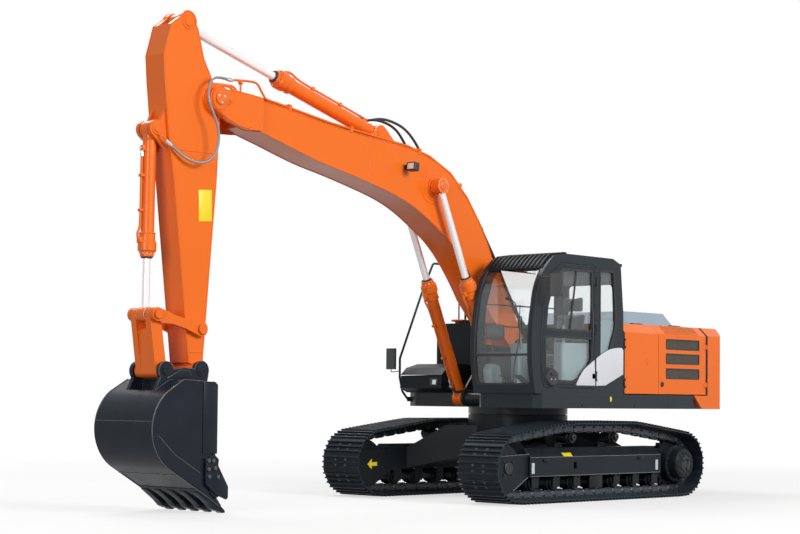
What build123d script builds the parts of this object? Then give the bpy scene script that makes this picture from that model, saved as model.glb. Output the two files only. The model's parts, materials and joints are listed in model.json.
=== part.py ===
from build123d import *
import os
from math import acos, atan2, cos, degrees, hypot, radians, sin

# Crawler excavator of the 20 tonne class, in millimetres.
# The origin is on the ground under the swing axis. +X is the front, +Y the cab side, +Z up.

os.makedirs("parts", exist_ok=True)

# Clearances
pin_play = 0.3
seat_gap = 0.3
side_play = 6
moving_gap = 8

# Tracks
tumbler_distance = 3370
track_gauge = 2200
end_radius = 415
shoe_width = 600
shoe_count = 46
shoe_plate = 13
grouser_height = 25
grouser_root = 26
grouser_tip = 13
grousers = 3
link_height = 105
link_thickness = 38
link_spacing = 160
carrier_rise = 130
carrier_flat = 200

# Wheels of the track
idler_flange = 26
hub_step = 14
lower_rollers = 7
lower_roller_front = 1180
lower_roller_rear = -1230
roller_radius = 80
carrier_front = 430
carrier_rear = -430
carrier_radius = 62
sprocket_teeth = 21
sprocket_thickness = 62
drive_ring_radius = 232
drive_cap_radius = 190
drive_reach = 285

# Track frame
beam_front = 1330
beam_rear = -1300
beam_bottom = 326
beam_top = 640
beam_outer = 170
beam_inner = 130
guard_plate = 22
roller_bracket = 16

# Centre frame
centre_bottom = 470
centre_top = 1018
leg_spread = 760
bearing_radius = 625
bearing_bore = 470

# Revolving frame
deck_bottom = 1112
deck_height = 173
deck_half_width = 1360
deck_rear = -1900
deck_front = 600
cab_deck_front = 1290
skirt_plate = 40
deck_plate = 36
bracket_plate = 30
beam_rise = 60

# Boom foot and boom cylinder foot
boom_foot = (225, 1845)
boom_cylinder_foot = (741, 1220)
boom_half_width = 200
boom_pin_radius = 45
boom_cylinder_offset = 315

# Boom
arm_pivot = (5320, 4360)
boom_rod_pin = (1885, 3729)
arm_cylinder_foot = (2700, 4290)
nose_ear = 50

# Arm
arm_half_width = 145
arm_tail_pin = (5688, 5141)
bucket_cylinder_foot = (6066, 3970)
bucket_pin = (5510, 1480)
side_link_pin = (5486, 1912)
link_pin = (6085, 2047)
bucket_link_pin = (5992, 1467)
arm_boss_half_width = 184

# Bucket
bucket_half_width = 460
bucket_side_plate = 26
bucket_shell = 24
bucket_ear = 46
bucket_teeth = 5
bucket_boss = 95
arm_tip_boss = 90
dumped_eye = (6038, 1288)
dumped_neck = (6115, 1380)
cutter_plate = 20

# Bucket linkage
side_link_end = 78
side_link_tip = 70
side_link_waist = 50
side_link_plate = 44
link_top_boss = 70
link_low_boss = 75
link_pin_radius = 36

# Rails, mirrors, lamp and pipes
rail_radius = 15
rail_y = -1378
mirror_arm_radius = 6
mirror_size = (44, 170, 270)
pipe_radius = 13
pipe_rise = 30
pipe_rows = (150, 180)
clamp_length = 44
clamp_sink = 12
lamp_stand = 50

# Cylinders: barrel radius, rod radius
boom_barrel_radius = 72
boom_rod_radius = 42
arm_barrel_radius = 82
arm_rod_radius = 47
bucket_barrel_radius = 70
bucket_rod_radius = 40

# House
house_half_width = 1340
house_shoulder = 2056
house_top = 2170
shoulder_width = 120
panel = 35
pillar = 36
wall = 30
cab_rear_x = -370
door_split = -1152
groove_x = -2260
tail_radius = 2885
hood_front = -1130
tank_inner = 640
tank_split = -530
tank_front = 70
hood_half_width = 850
hood_height = 190
thread_place = (-2560, 620)
thread_radius = 18
thread_depths = (70, 90)

# Doors
hinge_pin = 4.5
hinge_knuckle = 9
hinge_offset = 12
hinge_leaf = 6
grille_heights = (1931, 1748, 1559)
grille_length = 725
grille_height = 118
grille_slats = 6

# Cab
cab_right = 420
cab_left = 1360
cab_front = 1425
cab_roof_z = 2950
cab_wall = 50
glass = 8
glass_setback = 16
screen_height = 1440
hatch_size = 560
door_thickness = 40
door_fit = 6
door_hinge_x = 193
cab_hinge_heights = (1500, 2060, 2640)
visor_sheet = 10
visor_rise = 24
visor_rib = 22

sprocket_centre = (-tumbler_distance / 2, end_radius)
idler_centre = (tumbler_distance / 2, end_radius)
band_height = shoe_plate + grouser_height
band_radius = end_radius - band_height
rail_z = band_height + link_height
roller_z = rail_z + roller_radius + seat_gap
carrier_z = 2 * end_radius + carrier_rise - rail_z - carrier_radius - seat_gap
deck_top = deck_bottom + deck_height
cab_floor_z = deck_top + seat_gap


def side(y):
    """A plane drawn in X and Z at this y, extruded towards the machine's right."""
    return Plane.XZ.offset(-y)


def finish(piece, name):
    """Name a finished piece and write it."""
    piece.part.label = name
    export_step(piece.part, f"parts/{name}.step")


def bar(centre, radius, y_low, y_high, mode=Mode.ADD):
    """A round bar across the machine, between two values of y."""
    with BuildSketch(side(y_high)) as disc:
        with Locations(centre):
            Circle(radius)
    extrude(disc.sketch, amount=y_high - y_low, mode=mode)


def profile(points, y_low, y_high, mode=Mode.ADD):
    """A side-view outline, extruded across the machine between two values of y."""
    with BuildSketch(side(y_high)) as outline:
        with BuildLine():
            Polyline(*points, close=True)
        make_face()
    extrude(outline.sketch, amount=y_high - y_low, mode=mode)


def slab(x_low, x_high, y_low, y_high, z_low, z_high, mode=Mode.ADD):
    """A rectangular block between two corners."""
    with BuildSketch(Plane.XY.offset(z_low)) as footprint:
        with Locations(((x_low + x_high) / 2, (y_low + y_high) / 2)):
            Rectangle(x_high - x_low, y_high - y_low)
    extrude(footprint.sketch, amount=z_high - z_low, mode=mode)


def along(start, end, distance):
    """The point at this distance from start towards end, in side view."""
    length = hypot(end[0] - start[0], end[1] - start[1])
    share = distance / length
    return (start[0] + (end[0] - start[0]) * share, start[1] + (end[1] - start[1]) * share)


def axis_plane(start, end, y, distance):
    """A plane square to the line from start to end, at this distance along it."""
    x, z = along(start, end, distance)
    direction = (end[0] - start[0], 0, end[1] - start[1])
    return Plane(origin=(x, y, z), x_dir=(0, 1, 0), z_dir=direction)


def tangent_angle(centre, radius, point, turn):
    """Angle on a circle where a line from the point touches it; turn is 1 or -1."""
    reach = hypot(point[0] - centre[0], point[1] - centre[1])
    bearing = atan2(point[1] - centre[1], point[0] - centre[0])
    return degrees(bearing + turn * acos(radius / reach))


# Track: one closed loop of shoes on two rows of links

def track_path():
    """The line where shoes and links meet, run anticlockwise in side view."""
    top = 2 * end_radius + carrier_rise - band_height
    front_top = (carrier_front + carrier_flat, top)
    rear_top = (carrier_rear - carrier_flat, top)
    front_turn = tangent_angle(idler_centre, band_radius, front_top, -1)
    rear_turn = tangent_angle(sprocket_centre, band_radius, rear_top, 1)
    with BuildLine() as path:
        Line((sprocket_centre[0], band_height), (idler_centre[0], band_height))
        front = CenterArc(idler_centre, band_radius, -90, front_turn + 90)
        Line(front @ 1, front_top)
        Line(front_top, rear_top)
        rear = CenterArc(sprocket_centre, band_radius, rear_turn, 270 - rear_turn)
        Line(rear_top, rear @ 0)
    return path.wire()


def loop_outline(hinges, offsets):
    """Points round the loop: offsets are (share of the pitch, distance outwards)."""
    points = []
    for index, hinge in enumerate(hinges):
        following = hinges[(index + 1) % len(hinges)]
        step = following - hinge
        outwards = Vector(step.Y, -step.X).normalized()
        for share, distance in offsets:
            place = hinge + step * share + outwards * distance
            points.append((place.X, place.Y))
    return points


def shoe_profile(pitch):
    """Outer outline of one shoe with its grouser bars."""
    offsets = [(0.02, shoe_plate)]
    for number in range(grousers):
        middle = (number + 0.5) / grousers
        root = grouser_root / 2 / pitch
        tip = grouser_tip / 2 / pitch
        offsets.append((middle - root, shoe_plate))
        offsets.append((middle - tip, shoe_plate + grouser_height))
        offsets.append((middle + tip, shoe_plate + grouser_height))
        offsets.append((middle + root, shoe_plate))
    return offsets


path = track_path()
pitch = path.length / shoe_count
hinges = [path.position_at(pitch * (n + 0.5), PositionMode.LENGTH) for n in range(shoe_count)]
shoe_outer = loop_outline(hinges, shoe_profile(pitch))
hinge_line = loop_outline(hinges, [(0, 0)])
rail_inner = loop_outline(hinges, [(0.1, -0.5 * link_height), (0.2, -link_height),
                                   (0.8, -link_height), (0.9, -0.5 * link_height)])

for name, y in (("track_left", track_gauge / 2), ("track_right", -track_gauge / 2)):
    with BuildPart() as track:
        profile(shoe_outer, y - shoe_width / 2, y + shoe_width / 2)
        profile(hinge_line, y - shoe_width / 2, y + shoe_width / 2, Mode.SUBTRACT)
        for rail in (y - link_spacing / 2, y + link_spacing / 2):
            with BuildSketch(side(rail + link_thickness / 2)) as links:
                with BuildLine():
                    Polyline(*hinge_line, close=True)
                make_face()
                with BuildLine():
                    Polyline(*rail_inner, close=True)
                make_face(mode=Mode.SUBTRACT)
            extrude(links.sketch, amount=link_thickness)
    finish(track, name)

# Idlers, rollers and sprockets

chord_radius = (band_radius**2 - (pitch / 2) ** 2) ** 0.5 - link_height - seat_gap
rail_gap = link_spacing / 2 - link_thickness / 2
tread_edge = link_spacing / 2 + link_thickness / 2
bracket_face = tread_edge + hub_step

lower_step = (lower_roller_front - lower_roller_rear) / (lower_rollers - 1)
lower_places = [lower_roller_front - lower_step * n for n in range(lower_rollers)]


def wheel_profile(tread, flange, half_width, hub):
    """Half section of a flanged track wheel, drawn as (radius, width) pairs."""
    return [(hub, half_width + hub_step), (hub, half_width), (tread, half_width),
            (tread, rail_gap - 4), (flange, rail_gap - 8), (flange, -rail_gap + 8),
            (tread, -rail_gap + 4), (tread, -half_width), (hub, -half_width),
            (hub, -half_width - hub_step)]


def wheel(centre, y, section):
    """A wheel turned from its section about an axle across the machine."""
    x, z = centre
    with BuildSketch(Plane(origin=(x, y, z), x_dir=(1, 0, 0), z_dir=(0, 0, 1))) as half:
        with BuildLine():
            Polyline((0, section[0][1]), *section, (0, section[-1][1]), close=True)
        make_face()
    revolve(half.sketch, axis=Axis((x, y, z), (0, 1, 0)))


for name, y in (("rollers_left", track_gauge / 2), ("rollers_right", -track_gauge / 2)):
    with BuildPart() as rollers:
        idler_section = wheel_profile(chord_radius, chord_radius + idler_flange, tread_edge, 62)
        wheel(idler_centre, y, idler_section)
        for x in lower_places:
            wheel((x, roller_z), y, wheel_profile(roller_radius, roller_radius + 16, tread_edge, 38))
        for x in (carrier_front, carrier_rear):
            wheel((x, carrier_z), y, wheel_profile(carrier_radius, carrier_radius + 8, tread_edge, 34))
    finish(rollers, name)

tooth_tip = chord_radius + 70
tooth_root = tooth_tip - 52


def toothed_ring():
    """Outline of the sprocket, tooth after tooth."""
    points = []
    for number in range(sprocket_teeth):
        for radius, half in ((tooth_root, -5.2), (tooth_tip, -1.6), (tooth_tip, 1.6), (tooth_root, 5.2)):
            angle = radians(360 * number / sprocket_teeth + half)
            points.append((sprocket_centre[0] + radius * cos(angle), sprocket_centre[1] + radius * sin(angle)))
    return points


for name, y, hand in (("sprocket_left", track_gauge / 2, 1), ("sprocket_right", -track_gauge / 2, -1)):
    with BuildPart() as sprocket:
        profile(toothed_ring(), y - sprocket_thickness / 2, y + sprocket_thickness / 2)
        reach = sorted((y + hand * sprocket_thickness / 2, y + hand * drive_reach * 0.5))
        bar(sprocket_centre, drive_ring_radius, *reach)
        reach = sorted((y + hand * drive_reach * 0.5, y + hand * drive_reach))
        bar(sprocket_centre, drive_cap_radius, *reach)
        caps = sprocket.edges().filter_by(GeomType.CIRCLE).group_by(Axis.Y)[-1 if hand > 0 else 0]
        chamfer(caps, 22)
        reach = sorted((y - hand * sprocket_thickness / 2, y - hand * (beam_inner - guard_plate)))
        bar(sprocket_centre, 172, *reach)
    finish(sprocket, name)

# Track frames: a box beam with roller brackets, idler forks and drive plate

def idler_guard(y_low, y_high):
    """Bevelled plate beside the idler."""
    profile([(1300, 312), (1300, 575), (1900, 552), (1935, 400), (1850, 190), (1753, 105), (1603, 147)],
            y_low, y_high)


for name, hand in (("track_frame_left", 1), ("track_frame_right", -1)):
    middle = hand * track_gauge / 2
    with BuildPart() as frame:
        with BuildSketch(Plane.YZ.offset(beam_rear)):
            with BuildLine():
                Polyline(
                    (middle - hand * beam_inner, beam_bottom),
                    (middle - hand * beam_inner, beam_top - 40),
                    (middle - hand * (beam_inner - 40), beam_top),
                    (middle + hand * 60, beam_top),
                    (middle + hand * beam_outer, 535),
                    (middle + hand * beam_outer, beam_bottom - 14),
                    (middle + hand * (beam_outer - 30), beam_bottom - 14),
                    (middle + hand * (beam_outer - 40), beam_bottom),
                    close=True,
                )
            make_face()
        extrude(amount=beam_front - beam_rear)
        for x in lower_places:
            for y in (middle + bracket_face, middle - bracket_face - roller_bracket):
                slab(x - 62, x + 62, y, y + roller_bracket, roller_z - 46, beam_bottom + 4)
        for x in (carrier_front, carrier_rear):
            inner = sorted((middle - hand * bracket_face, middle - hand * (bracket_face + 16)))
            profile([(x - 80, beam_top - 60), (x - 45, carrier_z + 40), (x + 45, carrier_z + 40),
                     (x + 80, beam_top - 60)], *inner)
        for y in (middle + bracket_face, middle - bracket_face - guard_plate):
            idler_guard(y, y + guard_plate)
        drive = sorted((middle - hand * beam_inner, middle - hand * (beam_inner - guard_plate)))
        profile([(beam_rear + 60, beam_bottom + 20), (beam_rear + 60, beam_top - 60), (-1620, 640),
                 (-1800, 600), (-1880, 460), (-1860, 300), (-1720, 220)], *drive)
        # Square window in the outer face
        window = sorted((middle + hand * (beam_outer + 5), middle + hand * (beam_outer - 45)))
        slab(430, 500, *window, 385, 470, Mode.SUBTRACT)
    finish(frame, name)

# Centre frame: a round turret on four sloping legs

beam_face = track_gauge / 2 - beam_inner
with BuildPart() as centre:
    with BuildSketch(Plane.XY.offset(beam_bottom)) as legs:
        with BuildLine():
            Polyline((leg_spread + 260, beam_face), (leg_spread - 180, beam_face), (150, 420),
                     (-150, 420), (-leg_spread + 180, beam_face), (-leg_spread - 260, beam_face),
                     (-520, 0), (-leg_spread - 260, -beam_face), (-leg_spread + 180, -beam_face),
                     (-150, -420), (150, -420), (leg_spread - 180, -beam_face),
                     (leg_spread + 260, -beam_face), (520, 0), close=True)
        make_face()
    extrude(legs.sketch, amount=centre_top - beam_bottom)
    with BuildSketch(Plane.YZ.offset(-1200)) as arch:
        with BuildLine():
            Polyline((-beam_face, 330), (-beam_face, 590), (-520, 880), (520, 880), (beam_face, 590),
                     (beam_face, 330), (430, centre_bottom), (-430, centre_bottom), close=True)
        make_face()
    extrude(arch.sketch, amount=2400, mode=Mode.INTERSECT)
    with BuildSketch(Plane.XY.offset(centre_bottom)) as turret:
        Circle(bearing_radius)
    extrude(turret.sketch, amount=centre_top - centre_bottom)
finish(centre, "centre_frame")

# Swing bearing: the inner race stays with the tracks

race_height = deck_bottom - centre_top
race_split = bearing_radius - 75
with BuildPart() as race:
    with BuildSketch(Plane.XY.offset(centre_top)):
        Circle(race_split)
        Circle(bearing_bore, mode=Mode.SUBTRACT)
    extrude(amount=race_height - moving_gap)
finish(race, "swing_race")

# Revolving frame: deck, skirts, boom brackets and the outer race

foot_boss = 128
with BuildPart() as deck:
    with BuildSketch(Plane.XY.offset(deck_bottom)) as plan:
        with BuildLine():
            Polyline((deck_rear, -deck_half_width), (deck_front - 70, -deck_half_width),
                     (deck_front, -deck_half_width + 150), (deck_front, cab_right + 4),
                     (cab_deck_front - 40, cab_right + 4), (cab_deck_front, cab_right + 60),
                     (cab_deck_front, deck_half_width - 90), (cab_deck_front - 70, deck_half_width),
                     (deck_rear, deck_half_width), close=True)
        make_face()
    extrude(amount=deck_height)
    with BuildSketch(Plane.XY.offset(deck_bottom)) as pocket:
        add(plan.sketch)
        offset(amount=-skirt_plate, kind=Kind.INTERSECTION)
    extrude(amount=deck_height - deck_plate, mode=Mode.SUBTRACT)
    with BuildSketch(Plane.XY.offset(deck_bottom - 40)):
        Circle(bearing_radius)
    extrude(amount=deck_height + 30)
    with BuildSketch(Plane.XY.offset(deck_bottom - race_height + moving_gap)):
        Circle(bearing_radius)
        Circle(race_split + 0.5, mode=Mode.SUBTRACT)
    extrude(amount=race_height)
    with BuildSketch(Plane.XY.offset(deck_bottom - 60)):
        Circle(race_split + 0.5)
    extrude(amount=60, mode=Mode.SUBTRACT)
    for y in (boom_half_width + side_play, -boom_half_width - side_play - bracket_plate):
        profile([(deck_rear, deck_bottom + 10), (deck_rear, deck_top + beam_rise), (cab_rear_x, deck_top + beam_rise),
                 (boom_foot[0] - 118, boom_foot[1] + 30), (boom_foot[0] + 118, boom_foot[1] + 30),
                 (boom_cylinder_foot[0] + 80, boom_cylinder_foot[1] + 60),
                 (boom_cylinder_foot[0] + 40, boom_cylinder_foot[1] - 92),
                 (deck_front - 120, deck_bottom + 10)], y, y + bracket_plate)
        bar(boom_foot, foot_boss, y, y + bracket_plate)
        bar(boom_cylinder_foot, 96, y, y + bracket_plate)
    bar(boom_foot, boom_pin_radius, -boom_half_width - 60, boom_half_width + 60)
    bar(boom_cylinder_foot, 40, -boom_cylinder_offset - 68, boom_cylinder_offset + 68)
    bar(boom_cylinder_foot, 70, -boom_half_width - side_play, boom_half_width + side_play)
finish(deck, "main_frame")

# House: bulkheads, rear hoop and top plate round the engine bay

shoulder_y = house_half_width - shoulder_width
bay_front = cab_rear_x - 14
hood_rear = groove_x + 12


def house_section(inset, bottom=deck_top + seat_gap):
    """Section across the house, drawn inside its skin by this much."""
    with BuildSketch() as section:
        with BuildLine():
            Polyline((-house_half_width, bottom - inset), (-house_half_width, house_shoulder),
                     (-shoulder_y, house_top), (shoulder_y, house_top), (house_half_width, house_shoulder),
                     (house_half_width, bottom - inset), close=True)
        make_face()
        if inset:
            offset(amount=-inset, kind=Kind.INTERSECTION)
    return section.sketch


with BuildPart() as house:
    with BuildSketch(Plane.YZ.offset(bay_front - pillar)) as front_wall:
        add(house_section(0))
        with Locations((-house_half_width, deck_top)):
            Rectangle(2 * (house_half_width - tank_inner + 20), 3000, mode=Mode.SUBTRACT)
        with Locations((0, deck_top)):
            Rectangle(2 * (boom_half_width + bracket_plate + 3 * side_play), 2 * (beam_rise + side_play),
                      mode=Mode.SUBTRACT)
    extrude(front_wall.sketch, amount=pillar)
    with BuildSketch(Plane.YZ.offset(door_split - wall / 2)) as middle_wall:
        add(house_section(panel + moving_gap))
        with Locations((0, deck_top)):
            Rectangle(1760, 2 * (house_top - deck_top - 120), mode=Mode.SUBTRACT)
    extrude(middle_wall.sketch, amount=wall)
    slab(door_split - wall / 2, door_split + wall / 2, -shoulder_y + 2 * panel, shoulder_y - 2 * panel,
         house_top - 110, house_top - wall + 1)
    with BuildSketch(Plane.YZ.offset(groove_x + 4)) as hoop:
        add(house_section(0))
        add(house_section(90), mode=Mode.SUBTRACT)
    extrude(hoop.sketch, amount=pillar)
    with BuildSketch(Plane.XY.offset(house_top - wall)) as top_plate:
        with BuildLine():
            Polyline((groove_x + 4, -shoulder_y + moving_gap), (groove_x + 4, shoulder_y - moving_gap),
                     (bay_front, shoulder_y - moving_gap), (bay_front, -tank_inner + 20),
                     (door_split + 20, -tank_inner + 20), (door_split + 20, -shoulder_y + moving_gap),
                     close=True)
        make_face()
        with Locations(((hood_front + hood_rear) / 2, 0)):
            Rectangle(hood_front - hood_rear - 90, 2 * hood_half_width - 120, mode=Mode.SUBTRACT)
    extrude(top_plate.sketch, amount=wall)
finish(house, "house_panels")

# Engine: one plain block at its place across the machine

with BuildPart() as engine:
    slab(-2120, -1420, -600, 480, deck_top + beam_rise + seat_gap, deck_top + 800)
    fillet(engine.edges().filter_by(Axis.Z), 40)
finish(engine, "engine")

# Counterweight

with BuildPart() as weight:
    with BuildSketch(Plane.XY.offset(deck_bottom)):
        with BuildLine():
            tail_y = 1215
            tail_x = -(tail_radius**2 - tail_y**2) ** 0.5
            Line((groove_x, house_half_width), (groove_x, -house_half_width))
            Line((groove_x, -house_half_width), (tail_x + 90, -house_half_width))
            Spline((tail_x + 90, -house_half_width), (tail_x, -tail_y),
                   tangents=((-1, 0), (tail_y, tail_x)))
            ThreePointArc((tail_x, -tail_y), (-tail_radius, 0), (tail_x, tail_y))
            Spline((tail_x, tail_y), (tail_x + 90, house_half_width),
                   tangents=((tail_y, -tail_x), (1, 0)))
            Line((tail_x + 90, house_half_width), (groove_x, house_half_width))
        make_face()
    extrude(amount=house_top - deck_bottom)
    with BuildSketch(Plane.YZ.offset(-3000)) as shoulders:
        with BuildLine():
            Polyline((-house_half_width - 5, deck_bottom), (-house_half_width - 5, house_shoulder),
                     (-shoulder_y, house_top), (shoulder_y, house_top),
                     (house_half_width + 5, house_shoulder), (house_half_width + 5, deck_bottom),
                     close=True)
        make_face()
    extrude(shoulders.sketch, amount=1500, mode=Mode.INTERSECT)
    # Rounded top and bottom of the tail
    profile([(groove_x + 1, deck_bottom), (groove_x + 1, house_top), (-tail_radius + 190, house_top),
             (-tail_radius + 60, house_top - 50), (-tail_radius - 5, house_top - 170),
             (-tail_radius - 5, deck_bottom + 110), (-tail_radius + 60, deck_bottom)],
            -house_half_width - 10, house_half_width + 10, Mode.INTERSECT)
    # Lifting threads in the top face
    for hand, depth in zip((1, -1), thread_depths):
        with Locations((thread_place[0], hand * thread_place[1], house_top)):
            Hole(radius=thread_radius, depth=depth)
    for hand in (1, -1):
        reach = sorted((hand * (deck_half_width - 4), hand * (deck_half_width - 150)))
        profile([(groove_x - 4, deck_bottom), (groove_x - 4, deck_top), (deck_rear - 22, deck_top),
                 (deck_rear - 205, deck_bottom)], *reach)
finish(weight, "counterweight")

# Hood over the engine, hinged along its left edge

hinge_z = house_top + 22
hood_hinge = (hood_half_width + 26, hinge_z)
with BuildPart() as hood:
    with BuildSketch(Plane.XY.offset(house_top + 2)) as base:
        with Locations(((hood_front + hood_rear) / 2, 0)):
            RectangleRounded(hood_front - hood_rear, 2 * hood_half_width, 60)
    with BuildSketch(Plane.XY.offset(house_top + hood_height)) as crown:
        with Locations(((hood_front + hood_rear) / 2 + 20, 0)):
            RectangleRounded(hood_front - hood_rear - 200, 2 * hood_half_width - 200, 60)
    loft([base.sketch, crown.sketch])
    with BuildSketch(Plane.XY.offset(house_top + 2)) as hollow:
        with Locations(((hood_front + hood_rear) / 2, 0)):
            Rectangle(hood_front - hood_rear - 320, 2 * hood_half_width - 320)
    extrude(hollow.sketch, amount=hood_height - 60, mode=Mode.SUBTRACT)
    for x in (hood_front - 150, hood_rear + 110):
        with BuildSketch(Plane.YZ.offset(x - 40)) as knuckle:
            with Locations(hood_hinge):
                Circle(16)
            with Locations((hood_hinge[0] - 20, hood_hinge[1])):
                Rectangle(40, 20)
        extrude(knuckle.sketch, amount=80)
        with BuildSketch(Plane.YZ.offset(x - 40)) as bore:
            with Locations(hood_hinge):
                Circle(8 + pin_play)
        extrude(bore.sketch, amount=80, mode=Mode.SUBTRACT)
finish(hood, "hood")

with BuildPart() as hood_hinges:
    for x in (hood_front - 150, hood_rear + 110):
        with BuildSketch(Plane.YZ.offset(x - 80)) as pin:
            with Locations(hood_hinge):
                Circle(8)
        extrude(pin.sketch, amount=160)
        for start in (x - 80, x + 50):
            slab(start, start + 30, hood_hinge[0] - 14, hood_hinge[0] + 14, house_top, hinge_z + 14)
finish(hood_hinges, "hood_hinges")

# Side doors: left front, left rear with louvres, and the pump door on the right

hinge_heights = (deck_top + 140, house_shoulder - 140)


def hinge_half(x, skin, hand, toward, length, z_low, z_high, bored):
    """Half of a strap hinge: a leaf flat on the skin and a knuckle round the pin."""
    y = skin + hand * hinge_offset
    with BuildSketch(Plane.XY.offset(z_low)) as half:
        with Locations((x, y)):
            Circle(hinge_knuckle)
        with Locations((x + toward * length / 2, skin + hand * hinge_leaf / 2)):
            Rectangle(length, hinge_leaf)
        if bored:
            with Locations((x, y)):
                Circle(hinge_pin + pin_play, mode=Mode.SUBTRACT)
    extrude(half.sketch, amount=z_high - z_low)


def door_knuckles(x, skin, hand, toward, heights):
    """The door's halves of its hinges."""
    for z in heights:
        hinge_half(x, skin, hand, toward, 70, z - 30, z + 30, True)


def fixed_hinges(x, skin, hand, toward, heights):
    """The fixed halves of a door's hinges, with their pins."""
    for z in heights:
        hinge_half(x, skin, hand, toward, 30, z - 60, z - 32, False)
        hinge_half(x, skin, hand, toward, 30, z + 32, z + 60, False)
        with BuildSketch(Plane.XY.offset(z - 60)) as pin:
            with Locations((x, skin + hand * hinge_offset)):
                Circle(hinge_pin)
        extrude(pin.sketch, amount=120)


def side_panel(hand, x_low, x_high):
    """A side panel between two values of x: upright wall with a sloping shoulder above it."""
    with BuildSketch(Plane.YZ.offset(x_low)) as section:
        add(house_section(0, deck_top + 12))
        add(house_section(panel, deck_top + 12), mode=Mode.SUBTRACT)
        with Locations((-hand * (house_half_width - shoulder_y), deck_top)):
            Rectangle(2 * house_half_width, 3000, mode=Mode.SUBTRACT)
    extrude(section.sketch, amount=x_high - x_low)


def louvres(hand, x_low, x_high):
    """Three grilles of slats, cut into the door's skin."""
    middle = (x_low + x_high) / 2
    reach = grille_length / 2
    skin = hand * house_half_width
    for z in grille_heights:
        band = sorted((skin + hand, skin - hand * (panel + 1)))
        slab(middle - reach, middle + reach, *band, z - grille_height / 2, z + grille_height / 2, Mode.SUBTRACT)
        inset = sorted((skin - hand * 12, skin - hand * 24))
        for number in range(grille_slats):
            height = z + grille_height * ((number + 0.5) / grille_slats - 0.5)
            slab(middle - reach - 1, middle + reach + 1, *inset, height - 5, height + 5)


front_hinge = bay_front - pillar - 5
rear_hinge = groove_x + pillar + 8
with BuildPart() as front_door:
    side_panel(1, door_split + 4, front_hinge - 5)
    door_knuckles(front_hinge, house_half_width, 1, -1, hinge_heights)
finish(front_door, "left_front_door")

for name, hand in (("left_rear_door", 1), ("pump_door", -1)):
    with BuildPart() as rear_door:
        side_panel(hand, rear_hinge + 4, door_split - 4)
        louvres(hand, rear_hinge, door_split)
        door_knuckles(rear_hinge, hand * house_half_width, hand, 1, hinge_heights)
    finish(rear_door, name)

with BuildPart() as hinges:
    fixed_hinges(front_hinge, house_half_width, 1, 1, hinge_heights)
    fixed_hinges(rear_hinge, house_half_width, 1, -1, hinge_heights)
    fixed_hinges(rear_hinge, -house_half_width, -1, -1, hinge_heights)
finish(hinges, "door_hinges")

# Tanks and tool box on the right

with BuildPart() as fuel_tank:
    slab(tank_split, tank_front, -house_half_width, -tank_inner, deck_top + seat_gap, house_top + 20)
    chamfer(fuel_tank.edges().filter_by(Axis.X).group_by(Axis.Y)[0].sort_by(Axis.Z)[-1], 115)
    fillet(fuel_tank.edges().filter_by(Axis.Z), 40)
    with Locations((-150, -1000, house_top + 20)):
        Cylinder(75, 50, align=(Align.CENTER, Align.CENTER, Align.MIN))
finish(fuel_tank, "fuel_tank")

with BuildPart() as oil_tank:
    slab(door_split + 30, tank_split - 8, -house_half_width, -tank_inner, deck_top + seat_gap, house_top + 20)
    chamfer(oil_tank.edges().filter_by(Axis.X).group_by(Axis.Y)[0].sort_by(Axis.Z)[-1], 115)
    fillet(oil_tank.edges().filter_by(Axis.Z), 40)
finish(oil_tank, "oil_tank")

# Handrail on the right front corner, with the arm of the right mirror

tank_top = house_top + 20
rail_foot = (560, rail_y, deck_bottom + 88)
right_mirror = (790, -1462, 1715)


def pipe(points, bends, radius):
    """A round bar along straight runs joined by bends."""
    with BuildLine() as route:
        FilletPolyline(*points, radius=bends)
    with BuildSketch(Plane(origin=route.line @ 0, z_dir=route.line % 0)) as section:
        Circle(radius)
    return route.line, section.sketch


with BuildPart() as handrail:
    line, section = pipe([rail_foot, (665, rail_y, 1300), (716, rail_y, 1480), (716, rail_y, 1722),
                          (300, rail_y, 2600), (90, rail_y, 2985), (-110, rail_y, 2985), (-210, -1300, 2720),
                          (-290, -1140, tank_top + 160), (-290, -1140, tank_top + seat_gap)], 60, rail_radius)
    sweep(section, path=line)
    slab(rail_foot[0] - 70, rail_foot[0] + 12, rail_y, -deck_half_width - seat_gap,
         rail_foot[2] - 30, rail_foot[2] + 30)
    with BuildSketch(Plane.XY.offset(tank_top + seat_gap)) as flange:
        with Locations((-290, -1140)):
            Circle(36)
    extrude(flange.sketch, amount=10)
    line, section = pipe([(716, rail_y, 1560), (740, rail_y - 70, 1548), (right_mirror[0], right_mirror[1], 1548),
                          (right_mirror[0], right_mirror[1], right_mirror[2] - mirror_size[2] / 2 - seat_gap)],
                         10, mirror_arm_radius)
    sweep(section, path=line)
finish(handrail, "handrail")

# Mirrors on the handrail and on the cab's front pillar

left_mirror = (1300, 1620, 2545)
with BuildPart() as mirrors:
    for (x, y, z), turn in ((right_mirror, -6), (left_mirror, 20)):
        with BuildSketch(Plane.XY.offset(z - mirror_size[2] / 2)):
            with Locations((x, y)):
                RectangleRounded(mirror_size[0], mirror_size[1], 18, rotation=turn)
        extrude(amount=mirror_size[2])
    arm_z = left_mirror[2] + 100
    line, section = pipe([(1250, cab_left + seat_gap, arm_z), (1250, cab_left + 80, arm_z), (1262, cab_left + 160, arm_z),
                          (left_mirror[0], left_mirror[1] - 40, arm_z)], 30, mirror_arm_radius + 2)
    sweep(section, path=line)
finish(mirrors, "mirrors")

# Tool box with its front on the right of the boom

box_back = 90
with BuildPart() as tool_box:
    with BuildSketch(side(-640)):
        with BuildLine():
            Polyline((box_back, deck_top + seat_gap), (box_back, 1520), (deck_front + 130, 1500),
                     (deck_front + 150, 1340), (deck_front + 20, deck_top + seat_gap), close=True)
        make_face()
    extrude(amount=house_half_width - 640)
    fillet(tool_box.edges().filter_by(Axis.Z), 20)
finish(tool_box, "tool_box")

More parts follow.
